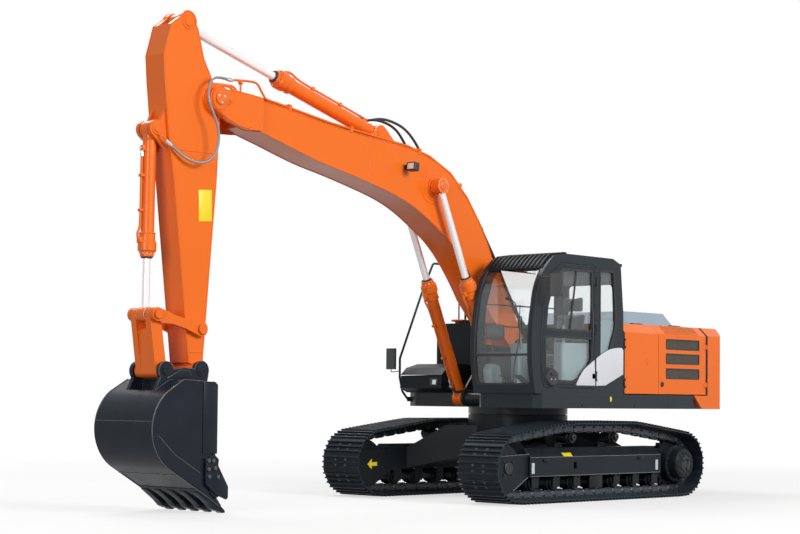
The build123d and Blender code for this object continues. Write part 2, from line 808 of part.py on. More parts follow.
lid_hinge = (box_back + 6, 1648)
lid_knuckle = 14
hinge_places = (-house_half_width + 90, -tank_inner - 90)
with BuildPart() as lid:
    with BuildSketch(side(-640)) as lid_side:
        with BuildLine():
            Polyline((box_back + 22, 1528), (box_back + 22, 1655), (box_back + 330, 1655),
                     (deck_front + 40, 1600), (deck_front + 140, 1508), close=True)
        make_face()
    extrude(lid_side.sketch, amount=house_half_width - 640)
    for y in hinge_places:
        bar(lid_hinge, lid_knuckle, y - 30, y + 30)
        slab(lid_hinge[0], box_back + 30, y - 30, y + 30, lid_hinge[1] - 8, lid_hinge[1] + 6)
        bar(lid_hinge, 8 + pin_play, y - 31, y + 31, Mode.SUBTRACT)
finish(lid, "tool_box_lid")

with BuildPart() as lid_pin:
    for y in hinge_places:
        bar(lid_hinge, 8, y - 54, y + 54)
        for start in (y - 54, y + 34):
            slab(tank_front + seat_gap, lid_hinge[0], start, start + 20, lid_hinge[1] - 12, lid_hinge[1] + 12)
finish(lid_pin, "lid_hinge_pin")

# Cab: hollow shell with its windows cut, floor and roof


def cab_outline(inset):
    """Side view of the cab, drawn inside its outer skin by this much."""
    with BuildSketch() as outline:
        with BuildLine():
            shin = ThreePointArc((cab_front - 75, cab_floor_z), (cab_front, 1830), (cab_front - 60, 2330))
            brow = ThreePointArc(shin @ 1, (cab_front - 195, 2700), (cab_front - 420, 2915))
            Polyline(brow @ 1, (760, cab_roof_z), (-150, cab_roof_z - 5), (cab_rear_x + 60, 2880),
                     (cab_rear_x, 2280), (cab_rear_x, cab_floor_z), shin @ 0)
        make_face()
        if inset:
            offset(amount=-inset, kind=Kind.INTERSECTION)
    return outline.sketch


def rounded(points, radius, inset):
    """A window's outline with rounded corners, drawn inwards by this much."""
    with BuildSketch() as outline:
        with BuildLine():
            Polyline(*points, close=True)
        make_face()
        fillet(outline.vertices(), radius)
        if inset:
            offset(amount=-inset)
    return outline.sketch


def side_cut(outline, y_high, depth, mode):
    """Extrude a side-view sketch towards the machine's right from this y."""
    with BuildSketch(side(y_high)) as placed:
        add(outline)
    extrude(placed.sketch, amount=depth, mode=mode)


doorway = [(190, 1350), (190, 2840), (880, 2840), (1090, 2700), (1225, 2330), (1275, 1850), (1255, 1500),
           (1205, 1350)]
quarter_window = [(120, 1720), (120, 2790), (-180, 2790), (-215, 2280), (-215, 2100), (-60, 1720)]
right_window = [(-200, 1800), (-200, 2790), (900, 2800), (1060, 2670), (1190, 2300), (1235, 1850)]
cab_middle = (cab_right + cab_left) / 2
screen_z = 2110
hatch_x = 360
rear_window_z = 2320


def screen_cut(inset, mode):
    """The windscreen's opening, or what fills it, seen from the front."""
    with BuildSketch(Plane.YZ.offset(900)) as screen:
        with Locations((cab_middle, screen_z)):
            RectangleRounded(cab_left - cab_right - 130 - 2 * inset, screen_height - 2 * inset, 60)
    extrude(screen.sketch, amount=600, mode=mode)


with BuildPart() as cab:
    side_cut(cab_outline(0), cab_left, cab_left - cab_right, Mode.ADD)
    side_cut(cab_outline(cab_wall), cab_left - cab_wall, cab_left - cab_right - 2 * cab_wall, Mode.SUBTRACT)
    side_cut(rounded(doorway, 40, 0), cab_left + 1, cab_wall + 2, Mode.SUBTRACT)
    side_cut(rounded(quarter_window, 40, 0), cab_left + 1, cab_wall + 2, Mode.SUBTRACT)
    side_cut(rounded(right_window, 50, 0), cab_right + cab_wall + 1, cab_wall + 2, Mode.SUBTRACT)
    screen_cut(0, Mode.SUBTRACT)
    with BuildSketch(Plane.YZ.offset(cab_rear_x - 5)) as rear_window:
        with Locations((cab_middle, rear_window_z)):
            RectangleRounded(cab_left - cab_right - 240, 640, 50)
    extrude(rear_window.sketch, amount=cab_wall + 60, mode=Mode.SUBTRACT)
    with BuildSketch(Plane.XY.offset(cab_roof_z - 100)) as hatch:
        with Locations((hatch_x, cab_middle)):
            RectangleRounded(hatch_size, hatch_size, 60)
    extrude(hatch.sketch, amount=120, mode=Mode.SUBTRACT)
    fixed_hinges(door_hinge_x, cab_left, 1, -1, cab_hinge_heights)
finish(cab, "cab_shell")

# Glazing of the cab, set into the openings

with BuildPart() as glazing:
    side_cut(cab_outline(glass_setback), cab_left, cab_left - cab_right, Mode.ADD)
    side_cut(cab_outline(glass_setback + glass), cab_left + 1, cab_left - cab_right + 2, Mode.SUBTRACT)
    screen_cut(seat_gap, Mode.INTERSECT)
    side_cut(rounded(right_window, 50, seat_gap), cab_right + glass_setback, glass, Mode.ADD)
    side_cut(rounded(quarter_window, 40, seat_gap), cab_left - glass_setback, glass, Mode.ADD)
    with BuildSketch(Plane.YZ.offset(cab_rear_x + 24)) as rear_pane:
        with Locations((cab_middle, rear_window_z)):
            RectangleRounded(cab_left - cab_right - 240 - 2 * seat_gap, 640 - 2 * seat_gap, 50)
    extrude(rear_pane.sketch, amount=glass)
    with BuildSketch(Plane.XY.offset(cab_roof_z - 45)) as hatch_pane:
        with Locations((hatch_x, cab_middle)):
            RectangleRounded(hatch_size - 2 * seat_gap, hatch_size - 2 * seat_gap, 60)
    extrude(hatch_pane.sketch, amount=glass)
finish(glazing, "cab_glazing")

# Ribbed sun visor on the front of the cab's roof

visor_front = 1190
visor_rear = 700
visor_inset = 60
visor_ribs = 13
with BuildPart() as visor:
    for y, width, rise in [(cab_left - visor_inset, cab_left - cab_right - 2 * visor_inset, visor_sheet)] + [
        (cab_left - visor_inset - n * (cab_left - cab_right - 2 * visor_inset - visor_rib) / (visor_ribs - 1),
         visor_rib, visor_rise) for n in range(visor_ribs)]:
        side_cut(cab_outline(-rise), y, width, Mode.ADD)
    side_cut(cab_outline(-seat_gap), cab_left + 1, cab_left - cab_right + 2, Mode.SUBTRACT)
    with BuildSketch(side(cab_left)) as keep:
        with BuildLine():
            Polyline((visor_rear, 2900), (visor_rear, 3100), (visor_front, 3100), (visor_front, 2700),
                     (visor_rear + 260, 2700), close=True)
        make_face()
    extrude(keep.sketch, amount=cab_left - cab_right, mode=Mode.INTERSECT)
finish(visor, "cab_visor")

# Cab door with its two panes, hinged at its rear edge

upper_window = [(260, 2030), (260, 2775), (850, 2775), (1010, 2660), (1140, 2320), (1180, 2030)]
lower_window = [(260, 1700), (260, 1965), (1185, 1965), (1175, 1560), (1140, 1430), (650, 1420), (420, 1480)]
with BuildPart() as cab_door:
    side_cut(rounded(doorway, 40, door_fit), cab_left, door_thickness, Mode.ADD)
    side_cut(rounded(upper_window, 40, 0), cab_left + 1, door_thickness + 2, Mode.SUBTRACT)
    side_cut(rounded(lower_window, 40, 0), cab_left + 1, door_thickness + 2, Mode.SUBTRACT)
    door_knuckles(door_hinge_x, cab_left, 1, 1, cab_hinge_heights)
finish(cab_door, "cab_door")

with BuildPart() as door_glass:
    side_cut(rounded(upper_window, 40, seat_gap), cab_left - 14, glass, Mode.ADD)
    side_cut(rounded(lower_window, 40, seat_gap), cab_left - 14, glass, Mode.ADD)
finish(door_glass, "door_glass")

# Seat and consoles

seat_x = 330
seat_y = (cab_right + cab_left) / 2
floor_z = cab_floor_z + cab_wall
with BuildPart() as seat_base:
    slab(seat_x - 200, seat_x + 230, seat_y - 180, seat_y + 180, floor_z + seat_gap, floor_z + 300)
    fillet(seat_base.edges().filter_by(Axis.Z), 60)
finish(seat_base, "seat_base")
with BuildPart() as cushion:
    slab(seat_x - 240, seat_x + 270, seat_y - 245, seat_y + 245, floor_z + 300 + seat_gap, floor_z + 430)
    fillet(cushion.edges().filter_by(Axis.Z), 70)
finish(cushion, "seat_cushion")
with BuildPart() as back:
    profile([(seat_x - 232, floor_z + 430 + seat_gap), (seat_x - 120, floor_z + 430 + seat_gap),
             (seat_x - 215, floor_z + 960), (seat_x - 320, floor_z + 960)], seat_y - 235, seat_y + 235)
    profile([(seat_x - 240, floor_z + 975), (seat_x - 250, floor_z + 1150), (seat_x - 340, floor_z + 1150),
             (seat_x - 330, floor_z + 975)], seat_y - 130, seat_y + 130)
    profile([(seat_x - 262, floor_z + 950), (seat_x - 262, floor_z + 980), (seat_x - 300, floor_z + 980),
             (seat_x - 300, floor_z + 950)], seat_y - 60, seat_y + 60)
finish(back, "seat_back")
with BuildPart() as consoles:
    for y in (seat_y - 400, seat_y + 262):
        slab(seat_x - 120, seat_x + 420, y, y + 138, floor_z + seat_gap, floor_z + 560)
        fillet(consoles.edges().filter_by(Axis.Z).group_by(Axis.Y)[-1], 40)
        with Locations((seat_x + 320, y + 69, floor_z + 560)):
            Cylinder(16, 220, align=(Align.CENTER, Align.CENTER, Align.MIN))
finish(consoles, "consoles")

# Boom: welded box with a bent back, nose ears and cylinder bosses

boom_top = [(5000, 4440), (4411, 4391), (4093, 4345), (3600, 4272), (2941, 4206), (2312, 4146), (1928, 4063),
            (1553, 3897), (1250, 3630), (957, 3266), (778, 2957)]
boom_bottom = [(960, 2435), (1338, 2902), (1553, 3094), (1819, 3262), (2207, 3464), (2583, 3591), (2951, 3678),
               (3362, 3765), (3745, 3838), (4403, 4008), (4880, 4118)]
with BuildPart() as boom:
    with BuildSketch(side(boom_half_width)):
        with BuildLine():
            upper = Spline(*boom_top)
            Line(upper @ 1, (boom_foot[0] - 120, boom_foot[1] + 60))
            Line((boom_foot[0] - 120, boom_foot[1] + 60), (boom_foot[0] + 120, boom_foot[1] - 50))
            Line((boom_foot[0] + 120, boom_foot[1] - 50), boom_bottom[0])
            lower = Spline(*boom_bottom)
            Line(lower @ 1, upper @ 0)
        make_face()
    extrude(amount=2 * boom_half_width)
    bar(boom_foot, 132, -boom_half_width, boom_half_width)
    bar(boom_foot, boom_pin_radius + pin_play, -boom_half_width - 1, boom_half_width + 1, Mode.SUBTRACT)
    # Nose ears either side of the arm
    for y in (boom_half_width, -boom_half_width - nose_ear):
        with BuildSketch(side(y + nose_ear)) as ear:
            with BuildLine():
                Polyline((5366, 4470), (4852, 4449), (4700, 4430), (4700, 4080), (4949, 4071), (5182, 4131),
                         (5400, 4250), close=True)
            make_face()
            with Locations(arm_pivot):
                Circle(132)
        extrude(ear.sketch, amount=nose_ear)
    bar(arm_pivot, 50, -boom_half_width - nose_ear - 24, boom_half_width + nose_ear + 24)
    # Bosses for the rods of the boom cylinders
    bar(boom_rod_pin, 105, -boom_half_width - 38, boom_half_width + 38)
    # Ears for the arm cylinder
    for y in (arm_barrel_radius + side_play, -arm_barrel_radius - side_play - 40):
        with BuildSketch(side(y + 40)) as ear:
            with BuildLine():
                Polyline((2380, 4130), (2640, 4360), (2780, 4330), (2980, 4190), (2900, 4120), close=True)
            make_face()
            with Locations(arm_cylinder_foot):
                Circle(92)
        extrude(ear.sketch, amount=40)
    bar(arm_cylinder_foot, 42, -arm_barrel_radius - 60, arm_barrel_radius + 60)
finish(boom, "boom")

# Steel pipes along the boom's back, held by clamps

def beside(points, rise):
    """The points of a side-view line, moved square to it by this much."""
    moved = []
    for index, (x, z) in enumerate(points):
        before = points[max(index - 1, 0)]
        after = points[min(index + 1, len(points) - 1)]
        length = hypot(after[0] - before[0], after[1] - before[1])
        moved.append((x + (after[1] - before[1]) / length * rise, z - (after[0] - before[0]) / length * rise))
    return moved


pipe_line = beside(boom_top[1:10], pipe_rise)
with BuildPart() as boom_pipes:
    for row in pipe_rows:
        for y in (row, -row):
            line, section = pipe([(x, y, z) for x, z in pipe_line], 150, pipe_radius)
            sweep(section, path=line)
    for (x, z), (next_x, next_z) in list(zip(pipe_line, pipe_line[1:]))[::2]:
        place = Plane(origin=((x + next_x) / 2, 0, (z + next_z) / 2), x_dir=(0, 1, 0),
                      z_dir=(next_x - x, 0, next_z - z))
        with BuildSketch(place) as clamps:
            with Locations((sum(pipe_rows) / 2, clamp_sink / 2), (-sum(pipe_rows) / 2, clamp_sink / 2)):
                Rectangle(pipe_rows[1] - pipe_rows[0] + 4 * pipe_radius, 2 * pipe_rise + clamp_sink)
        extrude(clamps.sketch, amount=clamp_length / 2, both=True)
    add(boom.part, mode=Mode.SUBTRACT)
finish(boom_pipes, "boom_pipes")

# Work light on the boom's left side

lamp_place = (2352, 3915)
lamp_size = (84, 130, 100)
with BuildPart() as work_light:
    lamp_y = boom_half_width + lamp_stand
    with BuildSketch(side(lamp_y + lamp_size[1])) as lamp:
        with Locations(lamp_place):
            Rectangle(lamp_size[0], lamp_size[2], rotation=8)
    extrude(lamp.sketch, amount=lamp_size[1])
    fillet(work_light.edges(), 14)
    bar(lamp_place, 16, boom_half_width + seat_gap, lamp_y + 20)
    bar(lamp_place, 34, boom_half_width + seat_gap, boom_half_width + 8)
finish(work_light, "work_light")

# Arm: tapered box with tail ears and pin bosses

link_inner = arm_half_width + 12 + side_play
link_outer = link_inner + side_link_plate

arm_front = [(5922, 5082), (6016, 4756), (5994, 4477), (5918, 3827), (5848, 3453), (5612, 1560)]
arm_back = [(5428, 1500), (5422, 1640), (5348, 2552), (5268, 3507), (5239, 4084), (5250, 4330), (5355, 4573), (5470, 4770)]
with BuildPart() as arm:
    profile(arm_front + arm_back, -arm_half_width, arm_half_width)
    bar(arm_pivot, 150, -boom_half_width + side_play, boom_half_width - side_play)
    bar(arm_pivot, 50 + pin_play, -boom_half_width, boom_half_width, Mode.SUBTRACT)
    for y in (arm_half_width - 60, -arm_half_width):
        with BuildSketch(side(y + 60)) as ear:
            with BuildLine():
                Polyline((5922, 5082), (5760, 5200), (5640, 5200), (5560, 5080), (5470, 4770), (5800, 4700),
                         close=True)
            make_face()
            with Locations(arm_tail_pin):
                Circle(108)
        extrude(ear.sketch, amount=60)
    # Room between the ears for the rod's eye
    with BuildSketch(side(arm_half_width - 60)) as room:
        with Locations(arm_tail_pin):
            Circle(235)
    extrude(room.sketch, amount=2 * arm_half_width - 120, mode=Mode.SUBTRACT)
    # Ears for the bucket cylinder
    for y in (bucket_barrel_radius + side_play, -bucket_barrel_radius - side_play - 40):
        with BuildSketch(side(y + 40)) as ear:
            with BuildLine():
                Polyline((5900, 4330), (6020, 4060), (6100, 3880), (5900, 3740), (5850, 4000), close=True)
            make_face()
            with Locations(bucket_cylinder_foot):
                Circle(92)
        extrude(ear.sketch, amount=40)
    bar(bucket_cylinder_foot, 38, -bucket_barrel_radius - 60, bucket_barrel_radius + 60)
    # Bosses for the side links and the bucket
    bar(side_link_pin, side_link_end, -link_inner + side_play, link_inner - side_play)
    bar(side_link_pin, link_pin_radius, -link_outer - 18, link_outer + 18)
    bar(bucket_pin, arm_tip_boss, -arm_boss_half_width, arm_boss_half_width)
    bar(bucket_pin, 40 + pin_play, -arm_boss_half_width - 1, arm_boss_half_width + 1, Mode.SUBTRACT)
finish(arm, "arm")

# Bucket linkage

def two_ended(start, end, start_radius, end_radius, y_low, y_high):
    """A plate with round ends."""
    with BuildSketch(side(y_high)) as plate:
        with Locations(start):
            Circle(start_radius)
        with Locations(end):
            Circle(end_radius)
        make_hull()
    extrude(plate.sketch, amount=y_high - y_low)


def dog_bone(start, end, y_low, y_high):
    """A forged side link: two round ends and a slimmer waist."""
    length = hypot(end[0] - start[0], end[1] - start[1])
    first = along(start, end, 0.36 * length)
    second = along(start, end, 0.64 * length)
    two_ended(start, first, side_link_end, side_link_waist, y_low, y_high)
    two_ended(first, second, side_link_waist, side_link_waist, y_low, y_high)
    two_ended(second, end, side_link_waist, side_link_tip, y_low, y_high)


with BuildPart() as side_links:
    for y_low, y_high in ((link_inner, link_outer), (-link_outer, -link_inner)):
        dog_bone(side_link_pin, link_pin, y_low, y_high)
    bar(side_link_pin, link_pin_radius + pin_play, -link_outer - 1, link_outer + 1, Mode.SUBTRACT)
    for reach in ((link_inner - 80, link_outer + 14), (-link_outer - 14, -link_inner + 80)):
        bar(link_pin, link_pin_radius, *reach)
finish(side_links, "side_links")

link_half = link_inner - side_play
eye_gap = 66 + 10
with BuildPart() as bucket_link:
    for y_low, y_high in ((eye_gap, link_half), (-link_half, -eye_gap)):
        two_ended(link_pin, bucket_link_pin, link_top_boss, link_low_boss, y_low, y_high)
    knee = along(bucket_link_pin, link_pin, 400)
    two_ended(knee, bucket_link_pin, 48, link_low_boss, -eye_gap, eye_gap)
    bar(bucket_link_pin, link_low_boss, -arm_boss_half_width, arm_boss_half_width)
    for reach in ((eye_gap - 1, link_half + 1), (-link_half - 1, -eye_gap + 1)):
        bar(link_pin, link_pin_radius + pin_play, *reach, Mode.SUBTRACT)
finish(bucket_link, "bucket_link")

# Bucket: curved shell, side plates, ears and cutting edge

mouth_x = 5509
lip_z = 200


def bucket_outline(inset):
    """Side view of the bucket, drawn inside its outer face by this much."""
    with BuildSketch() as outline:
        with BuildLine():
            wrap = ThreePointArc((6140, 1262), (6352, 870), (6120, 470))
            Polyline(wrap @ 1, (5560, 150), (mouth_x, lip_z), (mouth_x, 1353), (5940, 1378), wrap @ 0)
        make_face()
        if inset:
            offset(amount=-inset, kind=Kind.INTERSECTION)
    return outline.sketch


def eye_sweep(radius):
    """The room that the link's lower eye takes between the closed and the opened bucket."""
    with BuildSketch() as sweep:
        with Locations(bucket_link_pin, dumped_eye, dumped_neck):
            Circle(radius)
        make_hull()
    return sweep.sketch


ear_inner = arm_boss_half_width + side_play
with BuildPart() as bucket:
    side_cut(bucket_outline(0), bucket_half_width, 2 * bucket_half_width, Mode.ADD)
    with BuildSketch(side(bucket_half_width - bucket_side_plate)) as cavity:
        add(bucket_outline(bucket_shell))
        with BuildLine():
            Polyline((mouth_x - 40, lip_z + bucket_shell), (mouth_x - 40, 1200), (mouth_x + 60, 1200),
                     (mouth_x + 60, lip_z + bucket_shell), close=True)
        make_face()
    extrude(cavity.sketch, amount=2 * (bucket_half_width - bucket_side_plate), mode=Mode.SUBTRACT)
    # Saddle between the ears, with its own wall inside the shell
    with BuildSketch(side(ear_inner + bucket_shell)) as liner:
        add(eye_sweep(link_low_boss + side_play + bucket_shell))
        add(bucket_outline(0), mode=Mode.INTERSECT)
    extrude(liner.sketch, amount=2 * (ear_inner + bucket_shell))
    side_cut(eye_sweep(link_low_boss + side_play), ear_inner, 2 * ear_inner, Mode.SUBTRACT)
    # Cutting edge
    profile([(5600, 178), (5560, 148), (5440, 70), (5420, 78), (5520, 205)], -bucket_half_width, bucket_half_width)
    # Ears for the arm and the link
    for y in (ear_inner, -ear_inner - bucket_ear):
        with BuildSketch(side(y + bucket_ear)) as ear:
            with BuildLine():
                Polyline((5420, 1440), (5440, 1340), (5980, 1330), (6150, 1230), (6060, 1400), (5992, 1467),
                         (5750, 1500), (5510, 1480), close=True)
            make_face()
            with Locations(bucket_pin, bucket_link_pin):
                Circle(bucket_boss)
        extrude(ear.sketch, amount=bucket_ear)
        bar(bucket_link_pin, 46, y - 14 if y < 0 else y + bucket_ear, y if y < 0 else y + bucket_ear + 14)
    bar(bucket_pin, 40, -arm_boss_half_width - 66, arm_boss_half_width + 66)
finish(bucket, "bucket")

# Teeth and side cutters

tooth_pitch = (2 * bucket_half_width - 110) / (bucket_teeth - 1)
with BuildPart() as teeth:
    for number in range(bucket_teeth):
        y = (number - (bucket_teeth - 1) / 2) * tooth_pitch
        profile([(5570, 130), (5520, 175), (5350, 28), (5345, 4), (5380, 2), (5500, 60)], y - 42, y + 42)
    for y in (bucket_half_width + seat_gap, -bucket_half_width - seat_gap - cutter_plate):
        profile([(5570, 205), (5500, 160), (5436, 190), (5424, 320), (5468, 352), (5440, 430), (5478, 470),
                 (5468, 560), (5530, 610), (5600, 590)], y, y + cutter_plate)
    add(bucket.part, mode=Mode.SUBTRACT)
finish(teeth, "bucket_teeth")

# Cylinders: barrel on its foot pin, rod sliding in the barrel

def barrel(name, foot, eye, centres, length, radius, rod_radius, foot_radius, pin_radius, half_width):
    with BuildPart() as piece:
        for y in centres:
            bar(foot, foot_radius, y - half_width, y + half_width)
            with BuildSketch(axis_plane(foot, eye, y, foot_radius * 0.5)) as tube:
                Circle(radius)
            extrude(tube.sketch, amount=length - foot_radius * 0.5)
            with BuildSketch(axis_plane(foot, eye, y, length - 210)) as head:
                Circle(radius + 14)
            extrude(head.sketch, amount=210)
            with BuildSketch(axis_plane(foot, eye, y, foot_radius + 12)) as bore:
                Circle(rod_radius + pin_play)
            extrude(bore.sketch, amount=length, mode=Mode.SUBTRACT)
            bar(foot, pin_radius + pin_play, y - half_width - 1, y + half_width + 1, Mode.SUBTRACT)
    finish(piece, name)


def rod(name, foot, eye, centres, length, rod_radius, eye_radius, half_width, cap):
    reach = hypot(eye[0] - foot[0], eye[1] - foot[1])
    with BuildPart() as piece:
        for y in centres:
            bar(eye, eye_radius, y - half_width, y + half_width)
            with BuildSketch(axis_plane(foot, eye, y, reach - length)) as shaft:
                Circle(rod_radius)
            extrude(shaft.sketch, amount=length - eye_radius * 0.5)
            if cap:
                outer = y + half_width if y > 0 else y - half_width
                bar(eye, 46, *sorted((outer, outer + (14 if y > 0 else -14))))
    finish(piece, name)


boom_ends = (boom_cylinder_foot, boom_rod_pin, (boom_cylinder_offset, -boom_cylinder_offset))
barrel("boom_cylinder_barrels", *boom_ends, 1540, boom_barrel_radius, boom_rod_radius, 88, 40, 66)
rod("boom_cylinder_rods", *boom_ends, 1640, boom_rod_radius, 88, 62, True)
arm_ends = (arm_cylinder_foot, arm_tail_pin, (0,))
barrel("arm_cylinder_barrel", *arm_ends, 1640, arm_barrel_radius, arm_rod_radius, 92, 42, 66)
rod("arm_cylinder_rod", *arm_ends, 1750, arm_rod_radius, 92, 70, False)
bucket_ends = (bucket_cylinder_foot, link_pin, (0,))
barrel("bucket_cylinder_barrel", *bucket_ends, 1290, bucket_barrel_radius, bucket_rod_radius, 86, 38, 60)
rod("bucket_cylinder_rod", *bucket_ends, 1380, bucket_rod_radius, 76, 66, False)
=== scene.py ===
import json
import math

import bmesh
import bpy
from bpy.props import FloatProperty, FloatVectorProperty, IntProperty, PointerProperty
from mathutils import Matrix, Vector


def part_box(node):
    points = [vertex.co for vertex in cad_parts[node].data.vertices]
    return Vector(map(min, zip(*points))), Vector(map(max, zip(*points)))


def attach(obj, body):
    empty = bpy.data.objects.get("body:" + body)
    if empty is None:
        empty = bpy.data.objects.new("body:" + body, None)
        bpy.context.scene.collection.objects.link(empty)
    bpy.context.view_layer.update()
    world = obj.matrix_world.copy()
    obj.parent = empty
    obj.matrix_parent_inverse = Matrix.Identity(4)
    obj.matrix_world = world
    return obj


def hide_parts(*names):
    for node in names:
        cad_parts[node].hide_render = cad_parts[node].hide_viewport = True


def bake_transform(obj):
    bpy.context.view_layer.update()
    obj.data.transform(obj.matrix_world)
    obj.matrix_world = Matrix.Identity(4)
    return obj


bl_info = {
    "name": "Crawler Excavator",
    "version": (1, 0, 0),
    "blender": (4, 5, 0),
    "location": "View3D > Sidebar > Excavator",
    "description": "Finishes and fine pieces of a crawler excavator around its fixed frame",
    "category": "Object",
}

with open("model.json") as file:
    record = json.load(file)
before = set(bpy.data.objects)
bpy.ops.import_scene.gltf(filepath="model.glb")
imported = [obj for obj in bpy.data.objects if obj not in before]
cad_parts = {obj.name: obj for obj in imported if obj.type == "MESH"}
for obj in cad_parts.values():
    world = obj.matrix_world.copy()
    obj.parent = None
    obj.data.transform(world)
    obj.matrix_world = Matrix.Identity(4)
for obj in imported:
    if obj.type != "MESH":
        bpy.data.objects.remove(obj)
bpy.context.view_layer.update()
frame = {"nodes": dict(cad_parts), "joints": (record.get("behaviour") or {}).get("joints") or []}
joints = {joint["name"]: joint for joint in frame["joints"]}


def pivot(name):
    """The place of a joint at rest."""
    return Vector(joints[name]["pos_m"])


# Pins of the boom, arm and bucket, in metres
BOOM_FOOT = pivot("boom_joint")
ARM_PIVOT = pivot("arm_joint")
BUCKET_PIN = pivot("bucket_joint")
SIDE_LINK_PIN = pivot("side_link_joint")
LINK_PIN = pivot("bucket_link_joint")
BOOM_CYLINDER_FOOT = pivot("boom_cylinder_joint")
ARM_CYLINDER_FOOT = pivot("arm_cylinder_joint")
BUCKET_CYLINDER_FOOT = pivot("bucket_cylinder_joint")
BOOM_ROD_PIN = Vector((1.885, 0, 3.729))
ARM_ROD_PIN = Vector((5.688, 0, 5.141))

# Skins and edges of the house and cab
HOUSE_Y = 1.340
SHOULDER_Y = 1.220
SHOULDER_Z = 2.056
HOUSE_TOP = 2.170
CAB_LEFT = 1.360
CAB_RIGHT = 0.420
DECK_Y = 1.360
DECK_TOP = 1.285
DECK_BOTTOM = 1.112

# Half widths of the work equipment, the cylinders' places and the beams' outer faces
BOOM_SIDE = 0.200
NOSE_SIDE = 0.250
ARM_SIDE = 0.145
BUCKET_SIDE = 0.460
BUCKET_EAR = 0.236
BOOM_CYLINDER_Y = 0.315
BEAM_FACE = 1.270
HANDS = (("left", 1), ("right", -1))

# Loop of the tracks
WHEEL_X = 1.685
WHEEL_Z = 0.415
BAND_RADIUS = 0.377
BAND_HEIGHT = 0.038
TOP_FLAT = 0.630
TOP_RISE = 0.130
SHOES = 46
TRACK_Y = 1.100
RAIL_Y = 0.080
RAIL_HALF = 0.019
LINK_HEIGHT = 0.105


class ExcavatorColours(bpy.types.PropertyGroup):
    """Colours of the machine's finishes"""

    orange: FloatVectorProperty(
        name="Orange paint", description="Boom, arm, doors and counterweight",
        subtype="COLOR", size=4, default=(0.90, 0.165, 0.010, 1), min=0, max=1)
    charcoal: FloatVectorProperty(
        name="Charcoal paint", description="Cab, tanks, tool box and deck",
        subtype="COLOR", size=4, default=(0.022, 0.029, 0.034, 1), min=0, max=1)
    hood: FloatVectorProperty(
        name="Hood grey", description="Hood over the engine",
        subtype="COLOR", size=4, default=(0.310, 0.400, 0.470, 1), min=0, max=1)
    undercarriage: FloatVectorProperty(
        name="Undercarriage paint", description="Track frames, rollers and centre frame",
        subtype="COLOR", size=4, default=(0.014, 0.018, 0.021, 1), min=0, max=1)
    shoe: FloatVectorProperty(
        name="Shoe steel", description="Track shoes and links",
        subtype="COLOR", size=4, default=(0.019, 0.028, 0.037, 1), min=0, max=1)
    bucket: FloatVectorProperty(
        name="Bucket steel", description="Bucket, teeth and side cutters",
        subtype="COLOR", size=4, default=(0.014, 0.019, 0.027, 1), min=0, max=1)
    silver: FloatVectorProperty(
        name="Silver panel", description="Pale panel at the cab's lower rear corner",
        subtype="COLOR", size=4, default=(0.72, 0.73, 0.77, 1), min=0, max=1)
    lining: FloatVectorProperty(
        name="Cab lining", description="Light grey linings and consoles inside the cab",
        subtype="COLOR", size=4, default=(0.17, 0.215, 0.225, 1), min=0, max=1)
    cloth: FloatVectorProperty(
        name="Seat cloth", description="Seat cushion and back",
        subtype="COLOR", size=4, default=(0.030, 0.040, 0.046, 1), min=0, max=1)
    yellow: FloatVectorProperty(
        name="Marking yellow", description="Plain plates, marks and reflectors",
        subtype="COLOR", size=4, default=(0.95, 0.72, 0.02, 1), min=0, max=1)


class ExcavatorTrim(bpy.types.PropertyGroup):
    """Sizes of the small pieces"""

    weld: FloatProperty(
        name="Weld bead", description="Radius of a weld bead",
        default=0.007, min=0.002, max=0.02, unit="LENGTH")
    seal: FloatProperty(
        name="Window seal", description="Width of the rubber round a window",
        default=0.022, min=0.008, max=0.05, unit="LENGTH")
    bolt: FloatProperty(
        name="Bolt", description="Radius of a common bolt head",
        default=0.016, min=0.006, max=0.04, unit="LENGTH")
    hose: FloatProperty(
        name="Hose", description="Radius of a high-pressure hose",
        default=0.016, min=0.006, max=0.03, unit="LENGTH")
    shoe_bolts: IntProperty(
        name="Bolts a shoe", description="Bolts that hold one track shoe",
        default=4, min=2, max=4)


class ExcavatorView(bpy.types.PropertyGroup):
    """Camera"""

    azimuth: FloatProperty(
        name="Azimuth", description="Camera's turn about the machine",
        default=math.radians(133.19), subtype="ANGLE")
    elevation: FloatProperty(
        name="Elevation", description="How far the camera looks down, negative where it looks up",
        default=math.radians(-2.79), subtype="ANGLE")
    roll: FloatProperty(
        name="Roll", description="Camera's roll", default=math.radians(0.63), subtype="ANGLE")
    lens: FloatProperty(
        name="Lens", description="Focal length on a 36 mm sensor", default=84.8, min=20, max=200)
    place: FloatVectorProperty(
        name="Place", description="Camera's place", subtype="XYZ", unit="LENGTH",
        size=3, default=(18.55, 15.10, 1.22))


# Mesh forms

# How an outline's two values and its level become x, y and z
AXIS_ORDER = {"X": (2, 0, 1), "Y": (0, 2, 1), "Z": (0, 1, 2)}


def rectangle(low, high):
    """The four corners between two."""
    return [(low[0], low[1]), (high[0], low[1]), (high[0], high[1]), (low[0], high[1])]


def between(hand, inner, outer):
    """Two distances from the middle plane as a lower and a higher y on this hand."""
    return sorted((hand * inner, hand * outer))


def around(x, y, z, radius, count, first=0.0):
    """Places evenly round a pin that runs across the machine, from this share of a step on."""
    for number in range(count):
        angle = math.tau * (number + first) / count
        yield x + radius * math.cos(angle), y, z + radius * math.sin(angle)


